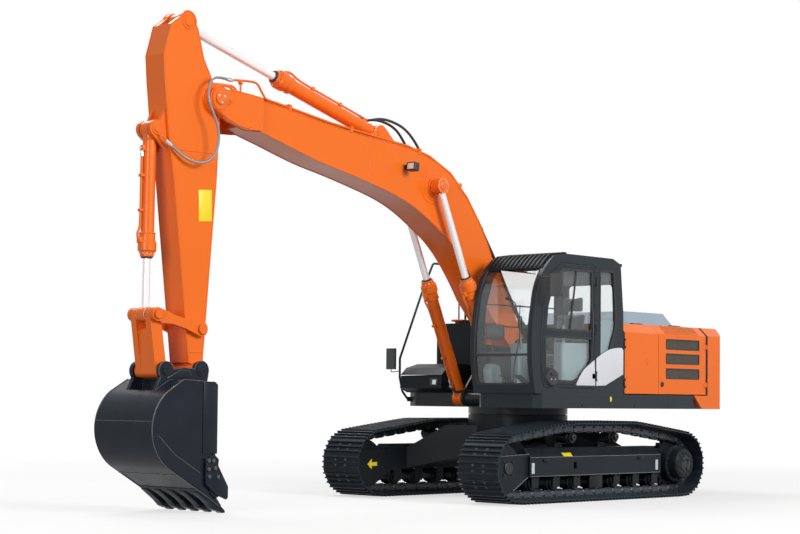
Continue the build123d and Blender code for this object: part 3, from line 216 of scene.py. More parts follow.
class Form:
    """Mesh geometry of one piece, gathered shape by shape."""

    def __init__(self):
        self.bm = bmesh.new()

    def ring(self, centre, across, upwards, radius, sides):
        """A ring of points round a centre."""
        angles = [math.tau * step / sides for step in range(sides)]
        return [self.bm.verts.new(centre + (across * math.cos(angle) + upwards * math.sin(angle)) * radius)
                for angle in angles]

    def join(self, first, second):
        """Faces between two rings."""
        return [self.bm.faces.new(corners) for corners in
                zip(first, first[1:] + first[:1], second[1:] + second[:1], second)]

    def skin(self, rings, capped=True):
        """Faces from ring to ring, with a cap on each end."""
        for first, second in zip(rings, rings[1:]):
            self.join(first, second)
        if capped:
            self.bm.faces.new(rings[0])
            self.bm.faces.new(rings[-1])

    def turned(self, centre, axis, profile, sides=24):
        """A round shape turned about an axis from (distance, radius) pairs."""
        axis = Vector(axis).normalized()
        across = axis.orthogonal().normalized()
        upwards = axis.cross(across)
        self.skin([self.ring(Vector(centre) + axis * distance, across, upwards, radius, sides)
                   for distance, radius in profile])

    def rod(self, start, end, radius, sides=12):
        """A plain round bar."""
        span = Vector(end) - Vector(start)
        self.turned(start, span, [(0, radius), (span.length, radius)], sides)

    def tube(self, points, radius, sides=8, closed=False):
        """A round bead along a line of points."""
        points = [Vector(point) for point in points]
        count = len(points)
        rings = []
        across = None
        for index, point in enumerate(points):
            before = points[index - 1] if index or closed else point
            after = points[(index + 1) % count] if index < count - 1 or closed else point
            along = (after - before).normalized()
            if across is None:
                across = along.orthogonal().normalized()
            across = (across - along * across.dot(along)).normalized()
            rings.append(self.ring(point, across, along.cross(across), radius, sides))
        self.skin(rings, capped=not closed)
        if closed:
            gap = [(rings[0][shift].co - rings[-1][0].co).length for shift in range(sides)]
            shift = gap.index(min(gap))
            self.join(rings[-1], rings[0][shift:] + rings[0][:shift])

    def bevel(self, faces, size, segments=2):
        """Round the edges of the faces just made."""
        edges = list({edge for face in faces for edge in face.edges})
        bmesh.ops.bevel(self.bm, geom=edges, offset=size, segments=segments, affect="EDGES", profile=0.5,
                        clamp_overlap=True)

    def rim(self, outline, level, axis):
        """Points of an outline: axis X takes (y, z), Y takes (x, z) and Z takes (x, y)."""
        return [self.bm.verts.new([(u, v, level)[k] for k in AXIS_ORDER[axis]]) for u, v in outline]

    def prism(self, outline, low, high, axis="Y", bevel=0.0, segments=2):
        """An outline pushed along an axis."""
        rims = [self.rim(outline, low, axis), self.rim(outline, high, axis)]
        faces = [self.bm.faces.new(rims[0]), self.bm.faces.new(rims[1])] + self.join(*rims)
        if bevel:
            self.bevel(faces, bevel, segments)

    def strip(self, outer, inner, low, high, axis="Y"):
        """A flat band between two outlines with as many points."""
        rims = [self.rim(outline, level, axis)
                for outline, level in ((outer, low), (outer, high), (inner, high), (inner, low))]
        for first, second in zip(rims, rims[1:] + rims[:1]):
            self.join(first, second)

    def box(self, low, high, bevel=0.0, segments=2):
        """A block between two corners."""
        self.prism(rectangle(low, high), low[2], high[2], "Z", bevel, segments)

    def side_box(self, hand, inner, outer, low, high, bevel=0.0):
        """A block between two (x, z) corners and two distances from the middle plane."""
        near, far = between(hand, inner, outer)
        self.box((low[0], near, low[1]), (high[0], far, high[1]), bevel)

    def plate(self, centre, size, turn, bevel=0.0, segments=2):
        """A block of this size about a centre, turned by a matrix."""
        half = [side / 2 for side in size]
        block = Form()
        block.box([-side for side in half], half, bevel, segments)
        block.bm.transform(Matrix.Translation(centre) @ turn.to_4x4())
        mesh = bpy.data.meshes.new("block")
        block.bm.to_mesh(mesh)
        block.bm.free()
        self.bm.from_mesh(mesh)
        bpy.data.meshes.remove(mesh)

    def bolt(self, place, direction, radius, washer=True):
        """A hexagon bolt head on its washer."""
        direction = Vector(direction).normalized()
        place = Vector(place)
        if washer:
            self.turned(place, direction, [(-0.002, radius * 1.35), (0.003, radius * 1.35)], 16)
        self.turned(place + direction * 0.003, direction,
                    [(0, radius), (radius * 0.72, radius), (radius * 0.86, radius * 0.86)], 6)

    def done(self, name, body, finish_name, sharp=32):
        """Make the object, give it its finish and let it ride on its body."""
        bmesh.ops.recalc_face_normals(self.bm, faces=self.bm.faces)
        mesh = bpy.data.meshes.new(name)
        self.bm.to_mesh(mesh)
        self.bm.free()
        return place_mesh(name, mesh, body, finish_name, sharp)


def place_mesh(name, mesh, body, finish_name, sharp=32):
    """Put a mesh in the scene as a piece that rides on a body."""
    for polygon in mesh.polygons:
        polygon.use_smooth = True
    mesh.set_sharp_from_angle(angle=math.radians(sharp))
    mesh.materials.clear()
    mesh.materials.append(finish(finish_name))
    made = bpy.data.objects.new(name, mesh)
    bpy.context.scene.collection.objects.link(made)
    if body:
        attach(made, body)
    return made


def rounded(points, radius, steps=5):
    """The outline with its corners rounded, as a closed list of points."""
    made = []
    count = len(points)
    for index in range(count):
        corner = Vector(points[index])
        before = Vector(points[index - 1]) - corner
        after = Vector(points[(index + 1) % count]) - corner
        reach = min(radius, 0.45 * before.length, 0.45 * after.length)
        start = corner + before.normalized() * reach
        end = corner + after.normalized() * reach
        for step in range(steps + 1):
            share = step / steps
            made.append(start.lerp(corner, share).lerp(corner.lerp(end, share), share))
    return made


def inset(points, distance):
    """A closed outline moved inwards, square to its sides."""
    count = len(points)
    area = sum(points[k][0] * points[(k + 1) % count][1] - points[(k + 1) % count][0] * points[k][1]
               for k in range(count))
    turn = 1 if area > 0 else -1
    made = []
    for index in range(count):
        before = Vector(points[index - 1])
        here = Vector(points[index])
        after = Vector(points[(index + 1) % count])
        first = (here - before).normalized()
        second = (after - here).normalized()
        normal = Vector((-first.y - second.y, first.x + second.x)) * turn
        if normal.length < 1e-6:
            made.append(here)
            continue
        normal.normalize()
        slant = max(0.5, normal.dot(Vector((-first.y, first.x)) * turn))
        made.append(here + normal * distance / slant)
    return made


def smooth_line(points, steps=8):
    """A curve through points, as a list of points."""
    points = [Vector(point) for point in points]
    ends = [points[0] * 2 - points[1]] + points + [points[-1] * 2 - points[-2]]
    made = []
    for a, b, c, d in zip(ends, ends[1:], ends[2:], ends[3:]):
        for step in range(steps):
            t = step / steps
            made.append(0.5 * ((2 * b) + (c - a) * t + (2 * a - 5 * b + 4 * c - d) * t * t
                               + (3 * b - a - 3 * c + d) * t ** 3))
    made.append(points[-1])
    return made


def lie_on(slope, hand):
    """The normal of a slope that rises inwards, and the turn that lays a plate on it."""
    normal = Vector((0, hand * slope.z, abs(slope.y)))
    return normal, Matrix((Vector((1, 0, 0)), slope, normal)).transposed()


def face_rims(node, axis, level, shortest=0.5):
    """Rims of the node's flat faces at this level of an axis (0, 1 or 2), as (points, closed) pairs."""
    mesh = frame["nodes"][node].data
    use = {}
    where = {}
    for polygon in mesh.polygons:
        if any(abs(mesh.vertices[k].co[axis] - level) > 2e-4 for k in polygon.vertices):
            continue
        keys = []
        for k in polygon.vertices:
            key = tuple(round(c, 4) for c in mesh.vertices[k].co)
            where[key] = mesh.vertices[k].co.copy()
            keys.append(key)
        for first, second in zip(keys, keys[1:] + keys[:1]):
            edge = (first, second) if first < second else (second, first)
            use[edge] = use.get(edge, 0) + 1
    links = {}
    for (first, second), times in use.items():
        if times == 1 and first != second:
            links.setdefault(first, set()).add(second)
            links.setdefault(second, set()).add(first)
    rims = []
    # Open chains start at their ends, and what is left is closed
    for start in sorted(links, key=lambda key: (len(links[key]) == 2, key)):
        while links[start]:
            line = [start]
            while links[line[-1]]:
                here = line[-1]
                following = min(links[here])
                links[here].discard(following)
                links[following].discard(here)
                line.append(following)
                if following == start:
                    break
            points = [where[key] for key in line]
            closed = line[-1] == line[0]
            length = sum((a - b).length for a, b in zip(points, points[1:]))
            if length > shortest:
                rims.append((points[:-1] if closed else points, closed))
    return rims


def closed_rims(node, axis, level):
    """The long closed rims of the node's flat faces at this level, as lists of points."""
    return [points for points, closed in face_rims(node, axis, level, shortest=1.0) if closed]


def rim_beads(form, node, levels, radius):
    """Beads along the rims of a node's side faces."""
    for level in levels:
        for points, closed in face_rims(node, 1, level):
            form.tube(points, radius, 6, closed)


# Shader effects that several finishes share

def effect(name, inputs, outputs):
    """A new shader node group with these sockets."""
    tree = bpy.data.node_groups.new(name, "ShaderNodeTree")
    for label, kind, value in inputs:
        socket = tree.interface.new_socket(name=label, in_out="INPUT", socket_type=kind)
        socket.default_value = value
    for label, kind in outputs:
        tree.interface.new_socket(name=label, in_out="OUTPUT", socket_type=kind)
    return tree, tree.nodes.new("NodeGroupInput"), tree.nodes.new("NodeGroupOutput")


def fill(tree, made, inputs):
    """Set or link the inputs of a node."""
    for key, value in inputs.items():
        if isinstance(value, bpy.types.NodeSocket):
            tree.links.new(value, made.inputs[key])
        else:
            made.inputs[key].default_value = value
    return made


def node(tree, kind, inputs=None, **settings):
    """A new node with its settings and its inputs' values or links."""
    made = tree.nodes.new(kind)
    for key, value in settings.items():
        setattr(made, key, value)
    return fill(tree, made, inputs or {})


def maths(tree, operation, first, second=0.0, clamp=False):
    """The result of one operation on values or links."""
    made = node(tree, "ShaderNodeMath", {0: first, 1: second}, operation=operation, use_clamp=clamp)
    return made.outputs[0]


def spread(tree, value, low, high, to_low=0.0, to_high=1.0):
    """A value between two limits spread over a new range."""
    made = node(tree, "ShaderNodeMapRange", {"Value": value, "From Min": low, "From Max": high,
                                             "To Min": to_low, "To Max": to_high})
    return made.outputs["Result"]


def mixed_colour(tree, share, first, second):
    """Two colours mixed by a share."""
    return node(tree, "ShaderNodeMix", {"Factor": share, 6: first, 7: second}, data_type="RGBA").outputs[2]


def noise(tree, scale, detail=2.0):
    """Cloudy noise over the object."""
    place = node(tree, "ShaderNodeTexCoord").outputs["Object"]
    made = node(tree, "ShaderNodeTexNoise", {"Vector": place, "Scale": scale, "Detail": detail})
    return made.outputs["Fac"]


FLOAT = "NodeSocketFloat"
COLOUR = "NodeSocketColor"
VECTOR = "NodeSocketVector"


def mottle_effect():
    """Slight changes of colour and gloss over a painted or cast surface."""
    tree, start, end = effect(
        "Mottle",
        [("Colour", COLOUR, (0.5, 0.5, 0.5, 1)), ("Tint", COLOUR, (0.4, 0.4, 0.4, 1)), ("Scale", FLOAT, 3.0),
         ("Amount", FLOAT, 0.3), ("Rough Low", FLOAT, 0.25), ("Rough High", FLOAT, 0.4)],
        [("Colour", COLOUR), ("Roughness", FLOAT), ("Height", FLOAT)])
    broad = spread(tree, noise(tree, start.outputs["Scale"], 5.0), 0.32, 0.68)
    share = maths(tree, "MULTIPLY", broad, start.outputs["Amount"])
    fill(tree, end, {
        "Colour": mixed_colour(tree, share, start.outputs["Colour"], start.outputs["Tint"]),
        "Roughness": spread(tree, broad, 0.0, 1.0, start.outputs["Rough Low"], start.outputs["Rough High"]),
        "Height": noise(tree, 260.0, 3.0)})


def edge_effect():
    """Edges as a used surface shows them: a rounded normal and a mask where edges lie."""
    tree, start, end = effect(
        "Edge", [("Radius", FLOAT, 0.006), ("Gain", FLOAT, 3.0)], [("Mask", FLOAT), ("Normal", VECTOR)])
    soft = node(tree, "ShaderNodeBevel", {"Radius": start.outputs["Radius"]}, samples=3).outputs["Normal"]
    flat = node(tree, "ShaderNodeNewGeometry").outputs["Normal"]
    match = node(tree, "ShaderNodeVectorMath", {0: soft, 1: flat}, operation="DOT_PRODUCT").outputs["Value"]
    lack = maths(tree, "SUBTRACT", 1.0, maths(tree, "ABSOLUTE", match))
    mask = maths(tree, "MULTIPLY", lack, start.outputs["Gain"], clamp=True)
    fill(tree, end, {"Mask": mask, "Normal": soft})


def dust_effect():
    """Dust that settles on faces that look up."""
    tree, start, end = effect(
        "Dust", [("Colour", COLOUR, (0.1, 0.1, 0.1, 1)), ("Dust", COLOUR, (0.2, 0.19, 0.17, 1)),
                 ("Amount", FLOAT, 0.3)], [("Colour", COLOUR), ("Mask", FLOAT)])
    facing = node(tree, "ShaderNodeSeparateXYZ", {0: node(tree, "ShaderNodeNewGeometry").outputs["Normal"]})
    upward = spread(tree, facing.outputs["Z"], 0.1, 1.0)
    lying = maths(tree, "MULTIPLY", upward, spread(tree, noise(tree, 9.0, 6.0), 0.35, 0.7))
    mask = maths(tree, "MULTIPLY", lying, start.outputs["Amount"], clamp=True)
    fill(tree, end, {"Colour": mixed_colour(tree, mask, start.outputs["Colour"], start.outputs["Dust"]),
                     "Mask": mask})


def weave_effect():
    """Crossed threads of a woven cloth."""
    tree, start, end = effect("Weave", [("Scale", FLOAT, 220.0)], [("Mask", FLOAT)])
    place = node(tree, "ShaderNodeTexCoord").outputs["Object"]
    threads = [node(tree, "ShaderNodeTexWave",
                    {"Vector": place, "Scale": start.outputs["Scale"], "Distortion": 1.5},
                    bands_direction=direction).outputs["Fac"] for direction in ("Y", "Z")]
    fill(tree, end, {"Mask": maths(tree, "MULTIPLY", *threads)})


EFFECTS = {"Mottle": mottle_effect, "Edge": edge_effect, "Dust": dust_effect, "Weave": weave_effect}


def use_effect(tree, name, inputs):
    """Place a shared effect in a material."""
    if name not in bpy.data.node_groups:
        EFFECTS[name]()
    return node(tree, "ShaderNodeGroup", inputs, node_tree=bpy.data.node_groups[name])


def shows_background(tree):
    """1 for rays that show the background: from the camera, off a mirror or through glass."""
    path = node(tree, "ShaderNodeLightPath")
    bent = maths(tree, "MAXIMUM", path.outputs["Is Glossy Ray"], path.outputs["Is Transmission Ray"])
    return maths(tree, "MAXIMUM", path.outputs["Is Camera Ray"], bent)


def new_material(name):
    """A material with an empty tree, its shader and its output."""
    made = bpy.data.materials.new(name)
    made.use_nodes = True
    tree = made.node_tree
    tree.nodes.clear()
    shader = node(tree, "ShaderNodeBsdfPrincipled")
    node(tree, "ShaderNodeOutputMaterial", {"Surface": shader.outputs["BSDF"]})
    return made, tree, shader


def mixed_surface(tree, share, first, second):
    """Show two shaders mixed by a share in place of the plain one."""
    mix = node(tree, "ShaderNodeMixShader", {"Fac": share, 1: first, 2: second})
    output = [each for each in tree.nodes if each.type == "OUTPUT_MATERIAL"][0]
    tree.links.new(mix.outputs["Shader"], output.inputs["Surface"])


def shade(colour, share):
    """The colour times a share."""
    return (colour[0] * share, colour[1] * share, colour[2] * share, 1)


def coated(name, colour, rough=(0.25, 0.36), coat=0.0, metallic=0.0, tint=0.82, scale=2.5, amount=0.5,
           edge=0.006, worn=None, worn_gain=2.0, dust=0.0, grain=0.02, gloss=0.5):
    """Paint, steel or plastic with slight mottling, soft edges, wear along them and dust."""
    if isinstance(colour, str):
        colour = tuple(getattr(colours(), colour))
    made, tree, shader = new_material(name)
    base = use_effect(tree, "Mottle", {"Colour": colour, "Tint": shade(colour, tint), "Scale": scale,
                                       "Amount": amount, "Rough Low": rough[0], "Rough High": rough[1]})
    shown = base.outputs["Colour"]
    edges = use_effect(tree, "Edge", {"Radius": edge, "Gain": worn_gain})
    if worn:
        shown = mixed_colour(tree, edges.outputs["Mask"], shown, worn)
    if dust:
        shown = use_effect(tree, "Dust", {"Colour": shown, "Amount": dust}).outputs["Colour"]
    bump = node(tree, "ShaderNodeBump", {"Strength": grain, "Distance": 0.002,
                                         "Height": base.outputs["Height"], "Normal": edges.outputs["Normal"]})
    fill(tree, shader, {"Base Color": shown, "Roughness": base.outputs["Roughness"],
                        "Normal": bump.outputs["Normal"], "Metallic": metallic, "Coat Weight": coat,
                        "Coat Roughness": 0.08, "Specular IOR Level": gloss})
    return made


def colours():
    """The colours that the user sets."""
    return bpy.context.scene.excavator_colours


def trim():
    """The sizes of small pieces that the user sets."""
    return bpy.context.scene.excavator_trim


# What coated takes for each paint, steel and plastic. A colour in quotes is one that the user sets.
COATS = {
    "orange_paint": dict(colour="orange", rough=(0.26, 0.34), coat=0.12, tint=0.95, scale=0.8,
                         worn=(1.0, 0.36, 0.07, 1), worn_gain=1.2, gloss=0.2),
    "charcoal_paint": dict(colour="charcoal", rough=(0.26, 0.38), coat=0.10, tint=0.85,
                           worn=(0.13, 0.15, 0.165, 1), worn_gain=1.8, gloss=0.12),
    "hood_paint": dict(colour="hood", rough=(0.30, 0.40), coat=0.2, tint=0.9),
    "undercarriage_paint": dict(colour="undercarriage", rough=(0.30, 0.44), tint=0.7,
                                worn=(0.10, 0.115, 0.13, 1), worn_gain=1.8, dust=0.10, gloss=0.12),
    "shoe_steel": dict(colour="shoe", rough=(0.28, 0.40), tint=0.6, scale=6, gloss=0.1,
                       worn=(0.16, 0.20, 0.23, 1), worn_gain=2.4, dust=0.06, edge=0.004),
    "link_steel": dict(colour=(0.060, 0.068, 0.078, 1), rough=(0.26, 0.40), metallic=0.6, tint=0.6, scale=12,
                       worn=(0.34, 0.37, 0.40, 1), worn_gain=2.4, edge=0.004),
    # A light steel for thin rods that paint highlights along edges
    "edge_steel": dict(colour=(0.13, 0.15, 0.165, 1), rough=(0.28, 0.38), tint=0.8, edge=0.002),
    "bucket_steel": dict(colour="bucket", rough=(0.24, 0.34), tint=1.5, scale=3, worn=(0.10, 0.11, 0.13, 1),
                         worn_gain=2.2, edge=0.005, gloss=0.1),
    "satin_black": dict(colour=(0.012, 0.016, 0.020, 1), rough=(0.36, 0.46), tint=0.8, edge=0.005,
                        worn=(0.09, 0.10, 0.11, 1), worn_gain=1.6, gloss=0.1),
    "grille_steel": dict(colour=(0.14, 0.12, 0.095, 1), rough=(0.40, 0.55), tint=0.7, scale=20, edge=0.001),
    # Lighter than the bucket steel, as a painted highlight on welds, bolts and plate lines
    "weld_steel": dict(colour=(0.055, 0.062, 0.070, 1), rough=(0.22, 0.32), coat=0.2, edge=0.002, grain=0.3),
    "pale_plate": dict(colour=(0.55, 0.62, 0.63, 1), rough=(0.3, 0.4), tint=0.94, edge=0.001),
    "dark_steel": dict(colour=(0.020, 0.022, 0.025, 1), rough=(0.35, 0.5), metallic=0.4, edge=0.003),
    "bright_steel": dict(colour=(0.55, 0.56, 0.58, 1), rough=(0.22, 0.34), metallic=1.0, tint=0.8,
                         edge=0.002),
    "chrome": dict(colour=(0.94, 0.90, 0.89, 1), rough=(0.14, 0.22), metallic=0.25, tint=0.94, scale=1.5,
                   edge=0.002, grain=0.0),
    "silver_paint": dict(colour="silver", rough=(0.28, 0.36), coat=0.3, tint=0.94, edge=0.004),
    "lining_plastic": dict(colour="lining", rough=(0.45, 0.58), tint=0.85, grain=0.12),
    "black_plastic": dict(colour=(0.016, 0.018, 0.020, 1), rough=(0.42, 0.56), tint=0.7, grain=0.15,
                          edge=0.004),
    "rubber": dict(colour=(0.012, 0.013, 0.014, 1), rough=(0.55, 0.7), tint=1.4, grain=0.1, edge=0.002),
    "grey_rubber": dict(colour=(0.26, 0.27, 0.28, 1), rough=(0.30, 0.42), coat=0.2, tint=0.8, grain=0.1,
                        edge=0.002),
    "engine_iron": dict(colour=(0.08, 0.08, 0.085, 1), rough=(0.5, 0.65), tint=0.6, scale=8, grain=0.3),
    "yellow_plate": dict(colour="yellow", rough=(0.3, 0.4), tint=0.95, edge=0.001),
    "reflector": dict(colour=(0.90, 0.75, 0.05, 1), rough=(0.12, 0.2), coat=0.8, edge=0.002),
    "orange_plastic": dict(colour=(0.80, 0.10, 0.01, 1), rough=(0.25, 0.35), coat=0.3, edge=0.004),
    "mirror_glass": dict(colour=(0.75, 0.78, 0.80, 1), rough=(0.02, 0.04), metallic=1.0, edge=0.001,
                         grain=0.0),
    "lamp_lens": dict(colour=(0.80, 0.78, 0.76, 1), rough=(0.08, 0.14), coat=1.0, tint=0.9, scale=30,
                      edge=0.003),
}


def seat_cloth():
    """Woven cloth with a soft sheen."""
    made, tree, shader = new_material("seat_cloth")
    colour = tuple(colours().cloth)
    weave = use_effect(tree, "Weave", {"Scale": 180.0}).outputs["Mask"]
    bump = node(tree, "ShaderNodeBump", {"Strength": 0.4, "Distance": 0.001, "Height": weave})
    fill(tree, shader, {"Base Color": mixed_colour(tree, weave, shade(colour, 0.7), shade(colour, 1.5)),
                        "Normal": bump.outputs["Normal"], "Roughness": 0.85, "Sheen Weight": 0.25})
    return made


def window_glass():
    """Tinted safety glass: light passes through it, and it mirrors at a slant."""
    made, tree, shader = new_material("window_glass")
    fill(tree, shader, {"Roughness": spread(tree, noise(tree, 2.0), 0.0, 1.0, 0.0, 0.03),
                        "Base Color": (0.90, 0.93, 0.93, 1), "Transmission Weight": 1.0, "IOR": 1.45})
    clear = node(tree, "ShaderNodeBsdfTransparent", {"Color": (0.78, 0.82, 0.83, 1)})
    shadow = node(tree, "ShaderNodeLightPath").outputs["Is Shadow Ray"]
    mixed_surface(tree, shadow, shader.outputs["BSDF"], clear.outputs["BSDF"])
    return made


def pale_floor():
    """A pale floor that fades to white with distance where it is seen, and sends back little light."""
    made, tree, shader = new_material("pale_floor")
    fill(tree, shader, {"Base Color": (0.86, 0.86, 0.86, 1), "Roughness": 0.9})
    place = node(tree, "ShaderNodeTexCoord").outputs["Object"]
    distance = node(tree, "ShaderNodeVectorMath", {0: place}, operation="LENGTH").outputs["Value"]
    glow = node(tree, "ShaderNodeEmission", {"Color": (1, 1, 1, 1), "Strength": 1.0})
    pale = node(tree, "ShaderNodeMixShader", {"Fac": spread(tree, distance, 4.0, 14.0, 0.6, 1.0),
                                              1: shader.outputs["BSDF"], 2: glow.outputs["Emission"]})
    dull = node(tree, "ShaderNodeBsdfDiffuse", {"Color": (0.16, 0.16, 0.16, 1)})
    mixed_surface(tree, shows_background(tree), dull.outputs["BSDF"], pale.outputs["Shader"])
    return made


OTHER_FINISHES = {"seat_cloth": seat_cloth, "window_glass": window_glass, "pale_floor": pale_floor}

NODE_FINISHES = {
    "orange_paint": ("boom", "arm", "counterweight", "left_front_door", "left_rear_door", "pump_door",
                     "side_links", "bucket_link", "boom_cylinder_barrels", "arm_cylinder_barrel",
                     "bucket_cylinder_barrel", "boom_pipes"),
    "charcoal_paint": ("cab_shell", "cab_door", "main_frame", "door_hinges", "hood_hinges", "lid_hinge_pin",
                       "handrail"),
    "satin_black": ("cab_visor", "fuel_tank", "oil_tank", "tool_box", "tool_box_lid", "house_panels"),
    "hood_paint": ("hood",),
    "undercarriage_paint": ("track_frame_left", "track_frame_right", "centre_frame", "swing_race",
                            "rollers_left", "rollers_right", "sprocket_left", "sprocket_right"),
    "shoe_steel": ("track_left", "track_right"),
    "bucket_steel": ("bucket", "bucket_teeth"),
    "chrome": ("boom_cylinder_rods", "arm_cylinder_rod", "bucket_cylinder_rod"),
    "black_plastic": ("mirrors", "work_light", "seat_base"),
    "lining_plastic": ("consoles",),
    "engine_iron": ("engine",),
    "window_glass": ("cab_glazing", "door_glass"),
}


made_finishes = {}


def finish(name):
    """The material of this name, made when it is first used."""
    if name not in made_finishes:
        made_finishes[name] = coated(name, **COATS[name]) if name in COATS else OTHER_FINISHES[name]()
    return made_finishes[name]


class EXCAVATOR_OT_finishes(bpy.types.Operator):
    """Give every node of the frame its paint, steel, glass or plastic"""

    bl_idname = "excavator.finishes"
    bl_label = "Finishes"

    def execute(self, context):
        for name, nodes in NODE_FINISHES.items():
            for part in nodes:
                target = frame["nodes"][part]
                if not target.material_slots:
                    target.data.materials.append(finish(name))
                for slot in target.material_slots:
                    slot.material = finish(name)
        return {"FINISHED"}


# Tracks

def touch_angle(centre_x, point_x, point_z, turn):
    """Angle on a track wheel where a straight run from a point touches it."""
    reach = math.hypot(point_x - centre_x, point_z - WHEEL_Z)
    bearing = math.atan2(point_z - WHEEL_Z, point_x - centre_x)
    return bearing + turn * math.acos(BAND_RADIUS / reach)


def loop_line():
    """The closed line on which shoes and links meet, as many short steps."""
    top = 2 * WHEEL_Z + TOP_RISE - BAND_HEIGHT
    front = touch_angle(WHEEL_X, TOP_FLAT, top, -1)
    rear = touch_angle(-WHEEL_X, -TOP_FLAT, top, 1)
    points = [(-WHEEL_X, BAND_HEIGHT)]
    arc_steps = 60
    for step in range(arc_steps + 1):
        angle = -math.pi / 2 + (front + math.pi / 2) * step / arc_steps
        points.append((WHEEL_X + BAND_RADIUS * math.cos(angle), WHEEL_Z + BAND_RADIUS * math.sin(angle)))
    points += [(TOP_FLAT, top), (-TOP_FLAT, top)]
    for step in range(arc_steps):
        angle = rear + (1.5 * math.pi - rear) * step / arc_steps
        points.append((-WHEEL_X + BAND_RADIUS * math.cos(angle), WHEEL_Z + BAND_RADIUS * math.sin(angle)))
    return [Vector(point) for point in points]


def shoe_places():
    """Hinge points round the loop, one for each shoe."""
    points = loop_line()
    points.append(points[0])
    lengths = [(b - a).length for a, b in zip(points, points[1:])]
    total = sum(lengths)
    places = []
    for number in range(SHOES):
        rest = total * (number + 0.5) / SHOES
        index = 0
        while rest > lengths[index]:
            rest -= lengths[index]
            index += 1
        places.append(points[index].lerp(points[index + 1], rest / lengths[index]))
    return places


class EXCAVATOR_OT_tracks(bpy.types.Operator):
    """Link plates, pins and shoe bolts round both tracks, with painted shade round the shoe bolts"""

    bl_idname = "excavator.tracks"
    bl_label = "Tracks"

    def execute(self, context):
        places = shoe_places()
        for side, hand in HANDS:
            links = Form()
            bolts = Form()
            painted_recess_shade = Form()
            for here, after in zip(places, places[1:] + places[:1]):
                step = after - here
                outwards = Vector((step.y, -step.x)).normalized()
                direction = (outwards.x, 0, outwards.y)
                eye = here - outwards * LINK_HEIGHT * 0.55
                for middle in (hand * TRACK_Y - RAIL_Y, hand * TRACK_Y + RAIL_Y):
                    for face in (-1, 1):
                        y = middle + face * RAIL_HALF
                        self.link_plate(links, here, step, outwards, y, face)
                        links.turned((eye.x, y, eye.y), (0, face, 0),
                                     [(-0.002, 0.030), (0.010, 0.030), (0.013, 0.024)], 12)
                    for share in (0.33, 0.66)[:trim().shoe_bolts // 2]:
                        spot = here + step * share + outwards * 0.0133
                        place = (spot.x, middle, spot.y)
                        # A flush dark disc round each bolt paints the shade of a hole in the shoe
                        painted_recess_shade.turned(place, direction, [(-0.001, 0.026), (0.002, 0.026)], 14)
                        bolts.turned(place, direction, [(0.001, 0.015), (0.008, 0.015), (0.010, 0.012)], 6)
            links.done(f"track_links_{side}", "undercarriage", "link_steel")
            bolts.done(f"shoe_bolts_{side}", "undercarriage", "link_steel")
            painted_recess_shade.done(f"shoe_recesses_{side}", "undercarriage", "rubber")
        return {"FINISHED"}

    def link_plate(self, form, here, step, outwards, y, face):
        """The raised side of one link, a slim plate with two round ends."""
        along = step.normalized()
        outline = []
        for share, depth in ((-0.16, 0.25), (-0.20, 0.55), (-0.12, 0.85), (0.12, 0.92), (0.30, 0.80),
                             (0.60, 0.80), (0.84, 0.92), (0.95, 0.80), (0.92, 0.35), (0.80, 0.20),
                             (0.50, 0.30), (0.20, 0.20)):
            spot = here + along * step.length * share - outwards * LINK_HEIGHT * depth
            outline.append((spot.x, spot.y))
        form.prism(outline, *sorted((y - face * 0.001, y + face * 0.006)))


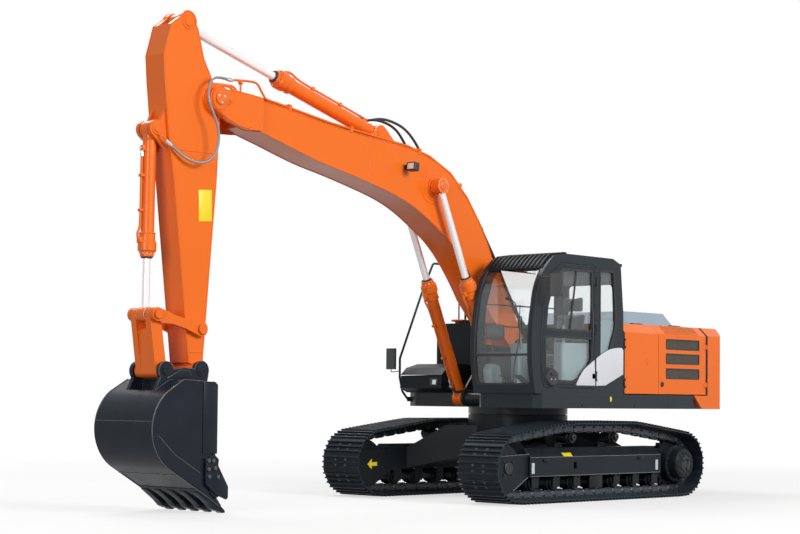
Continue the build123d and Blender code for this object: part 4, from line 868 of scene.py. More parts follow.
class EXCAVATOR_OT_undercarriage(bpy.types.Operator):
    """Bolt rings, caps, welds, guards and plain marks of the undercarriage"""

    bl_idname = "excavator.undercarriage"
    bl_label = "Undercarriage"

    def execute(self, context):
        welds = Form()
        steel = Form()
        for side, hand in HANDS:
            rim_beads(welds, f"track_frame_{side}", (hand * BEAM_FACE,), trim().weld * 0.7)
            self.drive_cap(steel, hand)
            self.idler_cap(steel, hand)
            self.roller_bolts(steel, hand)
        self.slew_bolts(steel)
        welds.done("track_frame_welds", "undercarriage", "undercarriage_paint")
        steel.done("undercarriage_bolts", "undercarriage", "dark_steel")
        self.beams()
        self.marks()
        return {"FINISHED"}

    def drive_cap(self, form, hand):
        """Bolts and a raised ring on the cover of the travel drive."""
        outwards = (0, hand, 0)
        cap_y = hand * (TRACK_Y + 0.285)
        for place in around(-WHEEL_X, hand * (TRACK_Y + 0.1425), WHEEL_Z, 0.212, 20):
            form.bolt(place, outwards, trim().bolt * 0.8)
        for place in around(-WHEEL_X, cap_y, WHEEL_Z, 0.140, 12, 0.5):
            form.bolt(place, outwards, trim().bolt * 0.7)
        form.turned((-WHEEL_X, cap_y - hand * 0.002, WHEEL_Z), outwards,
                    [(0, 0.100), (0.008, 0.098), (0.012, 0.085), (0.012, 0.060), (0.004, 0.055)], 40)
        for angle in (0.6, 2.4, 4.4):
            x = -WHEEL_X + 0.075 * math.cos(angle)
            z = WHEEL_Z + 0.075 * math.sin(angle)
            form.bolt((x, cap_y + hand * 0.010, z), outwards, trim().bolt, washer=False)

    def idler_cap(self, form, hand):
        """Hub and bolts of the idler's bearing block on the outer guard."""
        face = hand * (TRACK_Y + 0.135)
        form.turned((WHEEL_X, face, WHEEL_Z), (0, hand, 0),
                    [(-0.03, 0.075), (0.012, 0.075), (0.018, 0.066)], 32)
        for place in around(WHEEL_X, face, WHEEL_Z, 0.105, 4, 0.5):
            form.bolt(place, (0, hand, 0), trim().bolt)

    def roller_bolts(self, form, hand):
        """Two bolts on each lower roller's bracket, and the axle heads of the carrier rollers."""
        outwards = (0, hand, 0)
        first_x, pitch = 1.180, 2.410 / 6
        for number in range(7):
            for shift in (-0.040, 0.040):
                place = (first_x - number * pitch + shift, hand * (TRACK_Y + 0.129), 0.290)
                form.bolt(place, outwards, trim().bolt * 0.7)
        for x in (0.430, -0.430):
            form.turned((x, hand * (TRACK_Y + 0.113), 0.765), outwards,
                        [(-0.01, 0.040), (0.014, 0.040), (0.020, 0.032)], 20)
            form.bolt((x, hand * (TRACK_Y + 0.132), 0.765), outwards, trim().bolt * 0.8)

    def slew_bolts(self, form):
        """Ring of bolts that hold the swing bearing."""
        for number in range(36):
            angle = math.tau * number / 36
            form.bolt((0.590 * math.cos(angle), 0.590 * math.sin(angle), 1.018), (0, 0, 1), trim().bolt * 0.8)

    def beams(self):
        """Painted highlight lines along the beams' edges and the guards, small brackets and plates of the two
        beams, and the knurls of the drive caps.
        """
        edges = Form()
        fittings = Form()
        plates = Form()
        for hand in (1, -1):
            # Light rods along the beams' top and bottom edges and on the idler guards are painted highlights
            for z in (0.535, 0.313):
                edges.rod((-1.300, hand * BEAM_FACE, z), (1.330, hand * BEAM_FACE, z), 0.005, 8)
            guard = hand * (TRACK_Y + 0.135)
            edges.tube([(1.305, guard, 0.314), (1.603, guard, 0.149)], 0.006, 8)
            edges.tube([(1.305, guard, 0.574), (1.895, guard, 0.551)], 0.005, 8)
            for x in (1.030, -0.870):
                fittings.side_box(hand, BEAM_FACE - 0.004, BEAM_FACE + 0.018, (x - 0.055, 0.478),
                                  (x + 0.055, 0.518), 0.005)
            fittings.side_box(hand, TRACK_Y + 0.130, TRACK_Y + 0.143, (-0.115, 0.150), (0.139, 0.325), 0.005)
            for x, y, z in around(-WHEEL_X, hand * (TRACK_Y + 0.230), WHEEL_Z, 0.184, 44):
                fittings.rod((x, y, z), (x, y + hand * 0.041, z), 0.007, 6)
            for x in (1.270, -1.218):
                plates.side_box(hand, BEAM_FACE - 0.0002, BEAM_FACE + 0.0018, (x - 0.026, 0.345),
                                (x + 0.026, 0.470))
        edges.done("beam_edges", "undercarriage", "edge_steel")
        fittings.done("beam_fittings", "undercarriage", "undercarriage_paint")
        plates.done("beam_plates", "undercarriage", "pale_plate")

    def marks(self):
        """A plain arrow on the far idler guard and a short mark on each beam."""
        arrow = Form()
        outline = [(1.735, 0.395), (1.655, 0.330), (1.655, 0.372), (1.560, 0.372), (1.560, 0.418),
                   (1.655, 0.418), (1.655, 0.460)]
        guard = TRACK_Y - 0.135
        arrow.prism(outline, 0.0015 - guard, 0.0005 - guard)
        arrow.done("travel_arrow", "undercarriage", "yellow_plate")
        mark = Form()
        for hand in (1, -1):
            slope = Vector((0, -hand * 0.110, 0.105)).normalized()
            normal, turn = lie_on(slope, hand)
            place = Vector((0.595, hand * BEAM_FACE, 0.535)) + slope * 0.035 + normal * 0.001
            mark.plate(place, (0.170, 0.058, 0.003), turn)
        mark.done("beam_marks", "undercarriage", "yellow_plate")


# House

class EXCAVATOR_OT_house(bpy.types.Operator):
    """Grilles, latches, hinge covers, handles and the reflector of the house"""

    bl_idname = "excavator.house"
    bl_label = "House"

    def execute(self, context):
        for body, hand in (("left_rear_door", 1), ("pump_door", -1)):
            low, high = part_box(body)
            middle = (low[0] + high[0]) / 2 + 0.004
            self.grilles(body, hand, middle)
            self.shoulder_mesh(body, hand, middle)
        self.latches()
        self.hood_trim()
        self.skirt()
        self.counterweight()
        self.tanks()
        return {"FINISHED"}

    def grilles(self, body, hand, middle):
        """Black frames and fine mesh behind the louvres."""
        form = Form()
        mesh = Form()
        for z in (1.931, 1.748, 1.559):
            outer = rounded(rectangle((middle - 0.374, z - 0.068), (middle + 0.374, z + 0.068)), 0.02)
            form.strip(outer, inset(outer, 0.014), *between(hand, HOUSE_Y - 0.006, HOUSE_Y + 0.005))
            form.side_box(hand, HOUSE_Y - 0.034, HOUSE_Y - 0.030, (middle - 0.364, z - 0.061),
                          (middle + 0.364, z + 0.061))
            uprights = 48
            for number in range(uprights):
                x = middle - 0.36 + 0.72 * (number + 0.5) / uprights
                mesh.side_box(hand, HOUSE_Y - 0.012, HOUSE_Y - 0.004, (x - 0.003, z - 0.060),
                              (x + 0.003, z + 0.060))
            bars = 9
            for number in range(bars):
                height = z - 0.059 + 0.118 * (number + 0.5) / bars
                mesh.side_box(hand, HOUSE_Y - 0.012, HOUSE_Y - 0.004, (middle - 0.363, height - 0.003),
                              (middle + 0.363, height + 0.003))
        form.done(f"{body}_grilles", body, "black_plastic")
        mesh.done(f"{body}_grille_mesh", body, "grille_steel")

    def shoulder_mesh(self, body, hand, middle):
        """Raised orange mesh panel on the sloping shoulder over the grilles."""
        slope = Vector((0, hand * (SHOULDER_Y - HOUSE_Y), HOUSE_TOP - SHOULDER_Z))
        length = slope.length
        slope.normalize()
        normal, turn = lie_on(slope, hand)
        start = Vector((middle, hand * HOUSE_Y, SHOULDER_Z))
        centre = start + slope * length * 0.5
        form = Form()
        dark = Form()
        dark.plate(centre + normal * 0.001, (0.70, length * 0.72, 0.003), turn)
        for share in (0.10, 0.90):
            form.plate(start + slope * length * share + normal * 0.004, (0.74, 0.012, 0.010), turn, 0.003)
        for edge in (-0.36, 0.36):
            place = centre + normal * 0.004 + Vector((edge, 0, 0))
            form.plate(place, (0.014, length * 0.84, 0.010), turn, 0.003)
        bars = 40
        for number in range(bars):
            x = -0.35 + 0.70 * (number + 0.5) / bars
            form.plate(centre + normal * 0.003 + Vector((x, 0, 0)), (0.007, length * 0.78, 0.005), turn)
        wires = 7
        for number in range(wires):
            share = 0.16 + 0.68 * (number + 0.5) / wires
            form.plate(start + slope * length * share + normal * 0.0035, (0.70, 0.006, 0.006), turn)
        form.done(f"{body}_shoulder_mesh", body, "orange_paint")
        dark.done(f"{body}_shoulder_dark", body, "black_plastic")

    def latches(self):
        """Round door latches."""
        for body, hand, x, z, finish_name in (("left_front_door", 1, -0.920, 1.698, "orange_paint"),
                                              ("left_rear_door", 1, -1.230, 1.420, "dark_steel"),
                                              ("pump_door", -1, -1.230, 1.420, "dark_steel")):
            form = Form()
            form.turned((x, hand * HOUSE_Y, z), (0, hand, 0),
                        [(-0.001, 0.034), (0.005, 0.034), (0.007, 0.030), (0.003, 0.027), (0.003, 0.012),
                         (0.006, 0.010)], 32)
            form.done(f"{body}_latch", body, finish_name)

    def hood_trim(self):
        """Handles on the hood and covers over its hinges."""
        low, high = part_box("hood")
        foot, grip = high[2] - 0.135, high[2] - 0.085
        form = Form()
        for x in (low[0] + 0.34, high[0] - 0.34):
            form.tube(smooth_line([(x - 0.09, -0.80, foot), (x - 0.08, -0.83, grip), (x + 0.08, -0.83, grip),
                                   (x + 0.09, -0.80, foot)]), 0.008)
        form.done("hood_handles", "hood", "dark_steel")
        covers = Form()
        for x in (low[0] + 0.110, high[0] - 0.150):
            covers.box((x - 0.10, 0.893, HOUSE_TOP), (x + 0.10, 0.935, HOUSE_TOP + 0.030), 0.006)
        covers.done("hood_hinge_covers", "upper", "dark_steel")

    def skirt(self):
        """Plain reflector, seams and bolts of the skirt."""
        form = Form()
        outline = [(-0.115 + 0.017 * math.cos(a), 1.226 + 0.033 * math.sin(a))
                   for a in [math.tau * k / 32 for k in range(32)]]
        form.prism(outline, DECK_Y - 0.001, DECK_Y + 0.005, "Y", 0.0015)
        form.done("skirt_reflector", "upper", "reflector")
        seams = Form()
        back = DECK_Y - 0.0005
        for x in (0.62, -0.395, -1.152):
            seams.box((x - 0.0025, back, DECK_BOTTOM + 0.004),
                      (x + 0.0025, DECK_Y + 0.0006, DECK_TOP - 0.004))
        seams.box((-1.88, back, DECK_TOP - 0.016), (1.19, DECK_Y + 0.0010, DECK_TOP - 0.012))
        for x in (0.45, -0.62, -1.35):
            seams.bolt((x, DECK_Y, DECK_BOTTOM + 0.035), (0, 1, 0), trim().bolt * 0.6)
        seams.done("skirt_seams", "upper", "dark_steel")

    def counterweight(self):
        """Plugs in the lifting threads and dark plates on the rear of the counterweight."""
        form = Form()
        upwards = (0, 0, 1)
        for y in (-0.62, 0.62):
            form.turned((-2.56, y, HOUSE_TOP + 0.0005), upwards,
                        [(0, 0.030), (0.006, 0.030), (0.008, 0.026)], 24)
            form.turned((-2.56, y, HOUSE_TOP + 0.007), upwards,
                        [(0, 0.012), (0.012, 0.011), (0.014, 0.008)], 6)
        form.done("thread_plugs", "upper", "rubber")
        rear = Form()
        for y in (-0.86, 0.86):
            rear.box((-2.775, y - 0.07, 1.50), (-2.70, y + 0.07, 1.56), 0.010)
        rear.done("rear_reflectors", "upper", "dark_steel")

    def tanks(self):
        """Filler cap, orange disc with its stem, treads on the tanks and the tool box's latch."""
        top = HOUSE_TOP + 0.020
        x, y = -0.12, -1.105
        upwards = (0, 0, 1)
        cap = Form()
        cap.turned((x, y, top), upwards, [(0, 0.050), (0.026, 0.050), (0.028, 0.044)], 28)
        cap.turned((x, y, top + 0.058), upwards, [(0, 0.010), (0.50, 0.008)], 12)
        cap.done("level_stem", "upper", "black_plastic")
        disc = Form()
        disc.turned((x, y, top + 0.026), upwards,
                    [(0, 0.060), (0.004, 0.098), (0.020, 0.104), (0.030, 0.098), (0.034, 0.050)], 40)
        disc.done("level_disc", "upper", "orange_plastic")
        treads = Form()
        for row in range(5):
            for column in range(8):
                x = -1.05 + column * 0.066
                y = -0.74 - row * 0.075
                treads.prism([(x - 0.012, y), (x, y - 0.008), (x + 0.012, y), (x, y + 0.008)], top - 0.0005,
                             top + 0.0035, "Z")
        treads.done("tank_treads", "upper", "charcoal_paint")
        recess = Form()
        paddle = Form()
        turn = Matrix.Rotation(math.atan2(0.020, 0.160), 3, "Y").transposed()
        place = Vector((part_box("tool_box")[1][0] - 0.006, -0.765, 1.418))
        recess.plate(place, (0.008, 0.130, 0.090), turn, 0.002)
        paddle.plate(place + Vector((0.004, 0.010, 0)), (0.008, 0.062, 0.060), turn, 0.003)
        recess.done("tool_box_recess", "upper", "rubber")
        paddle.done("tool_box_paddle", "upper", "bright_steel")


# Cab

def arc_through(start, middle, end, steps=16):
    """Points on the circle through three points in a plane."""
    (ax, ay), (bx, by), (cx, cy) = start, middle, end
    d = 2 * (ax * (by - cy) + bx * (cy - ay) + cx * (ay - by))
    ux = ((ax**2 + ay**2) * (by - cy) + (bx**2 + by**2) * (cy - ay) + (cx**2 + cy**2) * (ay - by)) / d
    uy = ((ax**2 + ay**2) * (cx - bx) + (bx**2 + by**2) * (ax - cx) + (cx**2 + cy**2) * (bx - ax)) / d
    radius = math.hypot(ax - ux, ay - uy)
    first = math.atan2(ay - uy, ax - ux)
    last = math.atan2(cy - uy, cx - ux)
    return [(ux + radius * math.cos(first + (last - first) * k / steps),
             uy + radius * math.sin(first + (last - first) * k / steps)) for k in range(steps + 1)]


CAB_FRONT = (arc_through((1.350, 1.2853), (1.425, 1.830), (1.365, 2.330))
             + arc_through((1.365, 2.330), (1.230, 2.700), (1.005, 2.915))[1:])
CAB_MIDDLE = (CAB_LEFT + CAB_RIGHT) / 2
CAB_REAR = -0.370
CAB_ROOF = 2.950
CAB_FLOOR = 1.3353
GLASS_DEPTH = 0.014


def front_x(z):
    """How far forward the cab's skin lies at this height."""
    for (x0, z0), (x1, z1) in zip(CAB_FRONT, CAB_FRONT[1:]):
        if z0 <= z <= z1:
            return x0 + (x1 - x0) * (z - z0) / (z1 - z0)
    return CAB_FRONT[0][0] if z < CAB_FRONT[0][1] else CAB_FRONT[-1][0]


class EXCAVATOR_OT_cab(bpy.types.Operator):
    """Window seals, door ridges, pale side panel, rails, wiper and what is seen inside the cab"""

    bl_idname = "excavator.cab"
    bl_label = "Cab"

    def execute(self, context):
        self.side_windows()
        self.screen()
        self.door()
        self.side_panel()
        self.roof()
        self.rear()
        self.inside()
        return {"FINISHED"}

    def seal(self, form, rim, skin, hand):
        """Rubber round one window."""
        outline = [Vector((point.x, point.z)) for point in rim]
        form.strip(inset(outline, -0.003), inset(outline, trim().seal),
                   *sorted((skin + hand * 0.004, skin - hand * GLASS_DEPTH)))

    def side_windows(self):
        """Seals of the fixed side windows, the guard bars of the right one and a lining."""
        seals = Form()
        for rim in closed_rims("cab_shell", 1, CAB_LEFT):
            if max(point.x for point in rim) < 0.19 and min(point.z for point in rim) > 1.5:
                self.seal(seals, rim, CAB_LEFT, 1)
        for rim in closed_rims("cab_shell", 1, CAB_RIGHT):
            if min(point.z for point in rim) > 1.5:
                self.seal(seals, rim, CAB_RIGHT, -1)
        seals.done("side_window_seals", "upper", "rubber")
        bars = Form()
        near, far = CAB_RIGHT - 0.001, CAB_RIGHT - 0.034
        for z in (2.10, 2.36):
            line = [(-0.235, near, z), (-0.225, far, z), (1.16, far, z), (1.18, near, z)]
            bars.tube(smooth_line(line, 4), 0.010)
        bars.done("window_guard_bars", "upper", "black_plastic")
        lining = Form()
        lining.prism([(0.108, 1.735), (0.108, 2.190), (-0.200, 2.190), (-0.200, 2.100), (-0.055, 1.735)],
                     CAB_LEFT - 0.036, CAB_LEFT - 0.030, "Y", 0.002)
        lining.done("quarter_window_lining", "upper", "lining_plastic")

    def screen(self):
        """Seal of the windscreen, its split bar and the wiper."""
        half = (CAB_LEFT - CAB_RIGHT - 0.130) / 2
        longest_step = 0.06
        seals = Form()
        corners = rounded(rectangle((CAB_MIDDLE - half, 1.390), (CAB_MIDDLE + half, 2.830)), 0.06, 4)
        outline = []
        for first, second in zip(corners, corners[1:] + corners[:1]):
            steps = max(1, int((second - first).length / longest_step))
            outline += [first.lerp(second, k / steps) for k in range(steps)]
        seals.tube([(front_x(z) - 0.008, y, z) for y, z in outline], 0.012, 8, closed=True)
        split = 1.735
        seals.box((front_x(split) - 0.022, CAB_MIDDLE - half, split - 0.014),
                  (front_x(split) - 0.002, CAB_MIDDLE + half, split + 0.014), 0.004)
        seals.done("windscreen_seal", "upper", "rubber")
        wiper = Form()
        y, z = 0.93, 2.400
        blade_y, blade_z = 1.165, 2.060
        arm = [(y, z), (1.075, 2.330), (blade_y, blade_z)]
        wiper.tube(smooth_line([(front_x(z) + 0.014, y, z) for y, z in arm], 6), 0.006)
        wiper.turned((front_x(z) - 0.014, y, z), (1, 0, 0), [(0, 0.018), (0.034, 0.016)], 16)
        blade = [(front_x(z) + 0.004, blade_y - 0.1 * (z - blade_z), z)
                 for z in (1.80, 1.93, 2.06, 2.19, 2.32)]
        wiper.tube(blade, 0.005, 6)
        wiper.done("wiper", "upper", "black_plastic")

    def door(self):
        """Seals, ridges, window bar, latch housing and handle of the door."""
        seals = Form()
        ridges = Form()
        rims = sorted(closed_rims("cab_door", 1, CAB_LEFT),
                      key=lambda rim: max(point.z for point in rim) - min(point.z for point in rim))
        for rim in rims[:-1]:
            self.seal(seals, rim, CAB_LEFT, 1)
        outline = [Vector((point.x, point.z)) for point in rims[-1]]
        for depth in (0.016, 0.044):
            ridges.tube([(x, CAB_LEFT, z) for x, z in inset(outline, depth)], 0.006, 6, closed=True)
        seals.prism([(0.555, 2.780), (0.579, 2.780), (0.708, 2.020), (0.684, 2.020)],
                    CAB_LEFT - GLASS_DEPTH - 0.001, CAB_LEFT - 0.002, "Y", 0.003)
        seals.done("door_seals", "cab_door", "rubber")
        ridges.done("door_ridges", "cab_door", "charcoal_paint")
        latch = Form()
        latch.turned((1.055, CAB_LEFT - GLASS_DEPTH, 1.478), (0, 1, 0),
                     [(0, 0.112), (0.020, 0.110), (0.040, 0.096), (0.046, 0.070)], 36)
        latch.prism(rounded(rectangle((0.985, 1.500), (1.115, 1.530)), 0.012), CAB_LEFT + 0.020,
                    CAB_LEFT + 0.052, "Y", 0.004)
        latch.done("door_latch", "cab_door", "black_plastic")
        screws = Form()
        for x in (1.020, 1.092):
            screws.turned((x, CAB_LEFT + 0.030, 1.452), (0, 1, 0), [(0, 0.010), (0.006, 0.008)], 12)
        screws.done("door_latch_screws", "cab_door", "bright_steel")
        grip = Form()
        foot, bar = CAB_LEFT - 0.002, CAB_LEFT + 0.013
        line = [(0.268, foot, 1.90), (0.268, bar, 1.92), (0.268, bar, 2.26), (0.268, foot, 2.28)]
        grip.tube(smooth_line(line, 5), 0.007)
        grip.done("door_grip", "cab_door", "black_plastic")

    def side_panel(self):
        """Pale panel at the cab's lower rear corner, in two parts that meet at the door's edge."""
        edge = smooth_line([(0.579, 1.395), (0.507, 1.496), (0.419, 1.581), (0.311, 1.646), (0.217, 1.696),
                            (0.053, 1.780), (-0.071, 1.826), (-0.187, 1.849), (-0.334, 1.858)], 4)
        rear, front = 0.183, 0.203
        fixed = [point for point in edge if point.x < rear]
        fixed += [(-0.366, 1.830), (-0.366, 1.532), (0.000, 1.390), (rear, 1.386)]
        moving = [point for point in edge if point.x > front] + [(front, 1.386), (0.570, 1.386)]
        for name, body, outline in (("silver_panel_fixed", "upper", fixed),
                                    ("silver_panel_door", "cab_door", moving)):
            form = Form()
            form.prism(outline, CAB_LEFT - 0.001, CAB_LEFT + 0.006, "Y", 0.003)
            form.done(name, body, "silver_paint")

    def roof(self):
        """Rim of the roof hatch, knobs and small fittings."""
        form = Form()
        centre = Vector((0.360, CAB_MIDDLE))
        half = Vector((0.280, 0.280))
        outline = rounded(rectangle(centre - half, centre + half), 0.06)
        form.strip(inset(outline, -0.014), inset(outline, 0.020), CAB_ROOF - 0.010, CAB_ROOF + 0.010, "Z")
        for x in (0.570, -0.131):
            form.turned((x, 1.20, CAB_ROOF - 0.006), (0, 0, 1),
                        [(0, 0.020), (0.018, 0.018), (0.022, 0.012)], 16)
        form.turned((1.075, 0.470, 2.872), (0.6, -0.3, 0.3),
                    [(0, 0.020), (0.020, 0.020), (0.026, 0.012)], 16)
        form.box((-0.352, 1.325, 2.855), (-0.322, 1.350, 2.895), 0.005)
        form.done("roof_fittings", "upper", "black_plastic")

    def rear(self):
        """Seal of the rear window and the vents under it."""
        form = Form()
        for rim in closed_rims("cab_shell", 0, CAB_REAR):
            if min(point.z for point in rim) > 1.6:
                form.tube(rim, 0.010, 6, closed=True)
        for row in range(6):
            z = 1.50 + row * 0.045
            form.box((CAB_REAR - 0.006, CAB_MIDDLE - 0.24, z),
                     (CAB_REAR + 0.002, CAB_MIDDLE + 0.24, z + 0.018), 0.003)
        form.done("rear_window_seal", "upper", "rubber")

    def inside(self):
        """Levers, pedals, monitor, linings and floor mat."""
        black = Form()
        for y in (CAB_MIDDLE - 0.11, CAB_MIDDLE + 0.11):
            black.tube(smooth_line([(1.060, y, CAB_FLOOR + 0.020), (1.020, y, CAB_FLOOR + 0.300),
                                    (0.930, y, CAB_FLOOR + 0.620), (0.900, y, CAB_FLOOR + 0.740)], 5), 0.011)
            black.turned((0.905, y, CAB_FLOOR + 0.710), (-0.10, 0, 1),
                         [(0, 0.014), (0.012, 0.020), (0.100, 0.020), (0.112, 0.012)], 16)
            black.plate(Vector((1.135, y, CAB_FLOOR + 0.105)), (0.24, 0.105, 0.014),
                        Matrix.Rotation(-0.5, 3, "Y"), 0.004)
        for y in (CAB_MIDDLE - 0.331, CAB_MIDDLE + 0.331):
            black.turned((0.650, y, CAB_FLOOR + 0.770), (0.05, 0, 1),
                         [(0, 0.020), (0.020, 0.028), (0.100, 0.026), (0.125, 0.018)], 16)
            black.box((0.215, y - 0.045, CAB_FLOOR + 0.562), (0.570, y + 0.045, CAB_FLOOR + 0.602), 0.018, 3)
        screen_turn = Matrix.Rotation(0.5, 3, "Z")
        black.plate(Vector((1.130, 0.560, 2.020)), (0.045, 0.230, 0.175), screen_turn, 0.012)
        black.tube([(1.135, 0.550, 1.94), (1.16, 0.530, 1.70), (1.17, 0.520, 1.36)], 0.012)
        black.box((0.640, 0.480, CAB_FLOOR + 0.001), (1.300, 1.300, CAB_FLOOR + 0.012))
        black.done("cab_controls", "upper", "black_plastic")
        walls = Form()
        walls.box((-0.310, 0.475, CAB_FLOOR + 0.002), (1.150, 0.500, 1.780), 0.010)
        walls.box((-0.312, 0.500, CAB_FLOOR + 0.002), (-0.120, 1.290, 1.930), 0.030, 3)
        walls.done("cab_walls", "upper", "black_plastic")
        lining = Form()
        lining.box((-0.305, 0.520, 2.640), (-0.180, 1.260, 2.820), 0.040, 3)
        lining.prism([(1.060, CAB_FLOOR + 0.003), (1.250, CAB_FLOOR + 0.003), (1.290, 1.560), (1.240, 1.640),
                      (1.120, 1.610)], 0.502, 0.640, "Y", 0.015)
        lining.box((-0.120, 0.560, 1.337), (0.070, 1.220, 1.560), 0.030, 3)
        lining.done("cab_linings", "upper", "lining_plastic")
        screen = Form()
        screen.plate(Vector((1.108, 0.547, 2.020)), (0.002, 0.190, 0.130), screen_turn)
        screen.done("monitor_screen", "upper", "mirror_glass")


# Work equipment

def pin_plates(form, pin, side, steps):
    """Round plates on both ends of a pin, from its side out: (radius, height) pairs."""
    for hand in (1, -1):
        place = Vector((pin.x, hand * side, pin.z))
        level = 0.0
        for radius, height in steps:
            form.turned(place + Vector((0, hand * level, 0)), (0, hand, 0),
                        [(-0.002, radius), (height * 0.7, radius), (height, radius - height * 0.3)], 40)
            level += height


def butt_welds(form, low, high, side):
    """A weld bead across both side plates, from their lower to their upper edge."""
    for hand in (1, -1):
        start = Vector((low[0], hand * (side + 0.0005), low[1]))
        end = Vector((high[0], hand * (side + 0.0005), high[1]))
        form.tube([start.lerp(end, k / 12) for k in range(13)], trim().weld * 0.8, 6)


class EXCAVATOR_OT_boom(bpy.types.Operator):
    """Weld beads, pin plates and lamp lens of the boom"""

    bl_idname = "excavator.boom"
    bl_label = "Boom"

    def execute(self, context):
        welds = Form()
        rim_beads(welds, "boom", (BOOM_SIDE, -BOOM_SIDE), trim().weld)
        rim_beads(welds, "boom", (NOSE_SIDE, -NOSE_SIDE), trim().weld * 0.6)
        butt_welds(welds, (2.985, 3.688), (2.935, 4.200), BOOM_SIDE)
        butt_welds(welds, (1.090, 2.600), (0.800, 2.990), BOOM_SIDE)
        welds.done("boom_welds", "boom", "orange_paint")
        plates = Form()
        pin_plates(plates, ARM_PIVOT, NOSE_SIDE, [(0.118, 0.010), (0.070, 0.016)])
        pin_plates(plates, BOOM_ROD_PIN, BOOM_SIDE, [(0.205, 0.006), (0.165, 0.006), (0.128, 0.006)])
        pin_plates(plates, BOOM_FOOT, 0.236, [(0.100, 0.010), (0.062, 0.010)])
        pin_plates(plates, ARM_CYLINDER_FOOT, 0.128, [(0.070, 0.010)])
        plates.done("boom_pin_plates", "boom", "orange_paint")
        bolts = Form()
        for hand in (1, -1):
            for angle in (0.5, 2.6, 4.7):
                x = ARM_PIVOT.x + 0.046 * math.cos(angle)
                z = ARM_PIVOT.z + 0.046 * math.sin(angle)
                bolts.bolt((x, hand * (NOSE_SIDE + 0.026), z), (0, hand, 0), trim().bolt * 0.7)
        bolts.done("boom_pin_bolts", "boom", "bright_steel")
        self.nose()
        self.lamp()
        return {"FINISHED"}

    def nose(self):
        """Pipes over the boom's nose with their stands, and the lock plates of the arm's pin."""
        high = [(4.395, 0.180, 4.420), (4.585, 0.182, 4.446), (4.650, 0.184, 4.500), (4.735, 0.186, 4.595),
                (4.840, 0.186, 4.608), (4.990, 0.186, 4.600), (5.138, 0.186, 4.587)]
        low = [(4.395, 0.150, 4.420), (4.700, 0.152, 4.458), (4.960, 0.170, 4.474), (5.073, 0.176, 4.486),
               (5.156, 0.176, 4.517), (5.303, 0.176, 4.506)]
        lock = [(5.185, 4.395), (5.155, 4.352), (5.180, 4.310), (5.235, 4.300), (5.270, 4.330),
                (5.270, 4.375), (5.240, 4.402)]
        ridge = [(5.400, 4.270), (5.180, 4.150), (4.960, 4.090), (4.860, 4.110)]
        stand_x, stand_y = 4.977, 0.186
        pipes = Form()
        for hand in (1, -1):
            for line in (high, low):
                pipes.tube(smooth_line([(x, hand * y, z) for x, y, z in line], 6), 0.013, 10)
            y = hand * stand_y
            pipes.rod((stand_x, y, 4.440), (stand_x, y, 4.590), 0.011, 10)
            pipes.turned((stand_x, y, 4.575), (1, 0, -0.06), [(-0.016, 0.022), (0.016, 0.022)], 16)
            pipes.turned((stand_x, y, 4.432), (0, 0, 1), [(0, 0.030), (0.012, 0.030)], 16)
            pipes.prism(lock, *between(hand, NOSE_SIDE, NOSE_SIDE + 0.012), "Y", 0.003)
            pipes.bolt((5.185, hand * (NOSE_SIDE + 0.010), 4.352), (0, hand, 0), trim().bolt)
            pipes.tube(smooth_line([(x, hand * NOSE_SIDE, z) for x, z in ridge], 6), 0.009, 8)
        pipes.done("nose_pipes", "boom", "orange_paint")

    def lamp(self):
        """Bezel and lens on the front of the work light."""
        low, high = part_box("work_light")
        centre = Vector(((low[0] + high[0]) / 2, high[1] - 0.065, (low[2] + high[2]) / 2))
        turn = Matrix.Rotation(math.radians(-8), 3, "Y")
        front = centre + turn @ Vector((0.0445, 0, 0))
        lens = Form()
        lens.plate(front, (0.008, 0.104, 0.074), turn, 0.003)
        lens.done("work_light_lens", "boom", "lamp_lens")
        bezel = Form()
        for y, z, size in ((0, -0.042, (0.014, 0.124, 0.010)), (0, 0.042, (0.014, 0.124, 0.010)),
                           (-0.057, 0, (0.014, 0.010, 0.094)), (0.057, 0, (0.014, 0.010, 0.094))):
            bezel.plate(front + turn @ Vector((0.001, y, z)), size, turn, 0.003)
        bezel.done("work_light_bezel", "boom", "black_plastic")


class EXCAVATOR_OT_arm(bpy.types.Operator):
    """Weld beads, pin plates and the plain yellow plates of the arm"""

    bl_idname = "excavator.arm"
    bl_label = "Arm"

    def execute(self, context):
        welds = Form()
        rim_beads(welds, "arm", (ARM_SIDE, -ARM_SIDE), trim().weld)
        butt_welds(welds, (5.252, 3.784), (5.905, 3.772), ARM_SIDE)
        butt_welds(welds, (5.425, 1.670), (5.620, 1.665), ARM_SIDE)
        welds.done("arm_welds", "arm", "orange_paint")
        plates = Form()
        pin_plates(plates, ARM_ROD_PIN, ARM_SIDE, [(0.085, 0.010), (0.058, 0.012)])
        pin_plates(plates, BUCKET_CYLINDER_FOOT, 0.116, [(0.068, 0.010), (0.046, 0.012)])
        pin_plates(plates, SIDE_LINK_PIN, 0.225, [(0.056, 0.008)])
        plates.done("arm_pin_plates", "arm", "orange_paint")
        for side, hand in HANDS:
            plate = Form()
            plate.prism([(5.322, 3.060), (5.502, 3.046), (5.510, 3.378), (5.330, 3.392)],
                        *between(hand, ARM_SIDE - 0.0005, ARM_SIDE + 0.0025), "Y", 0.001)
            plate.done(f"arm_plate_{side}", "arm", "yellow_plate")
        return {"FINISHED"}


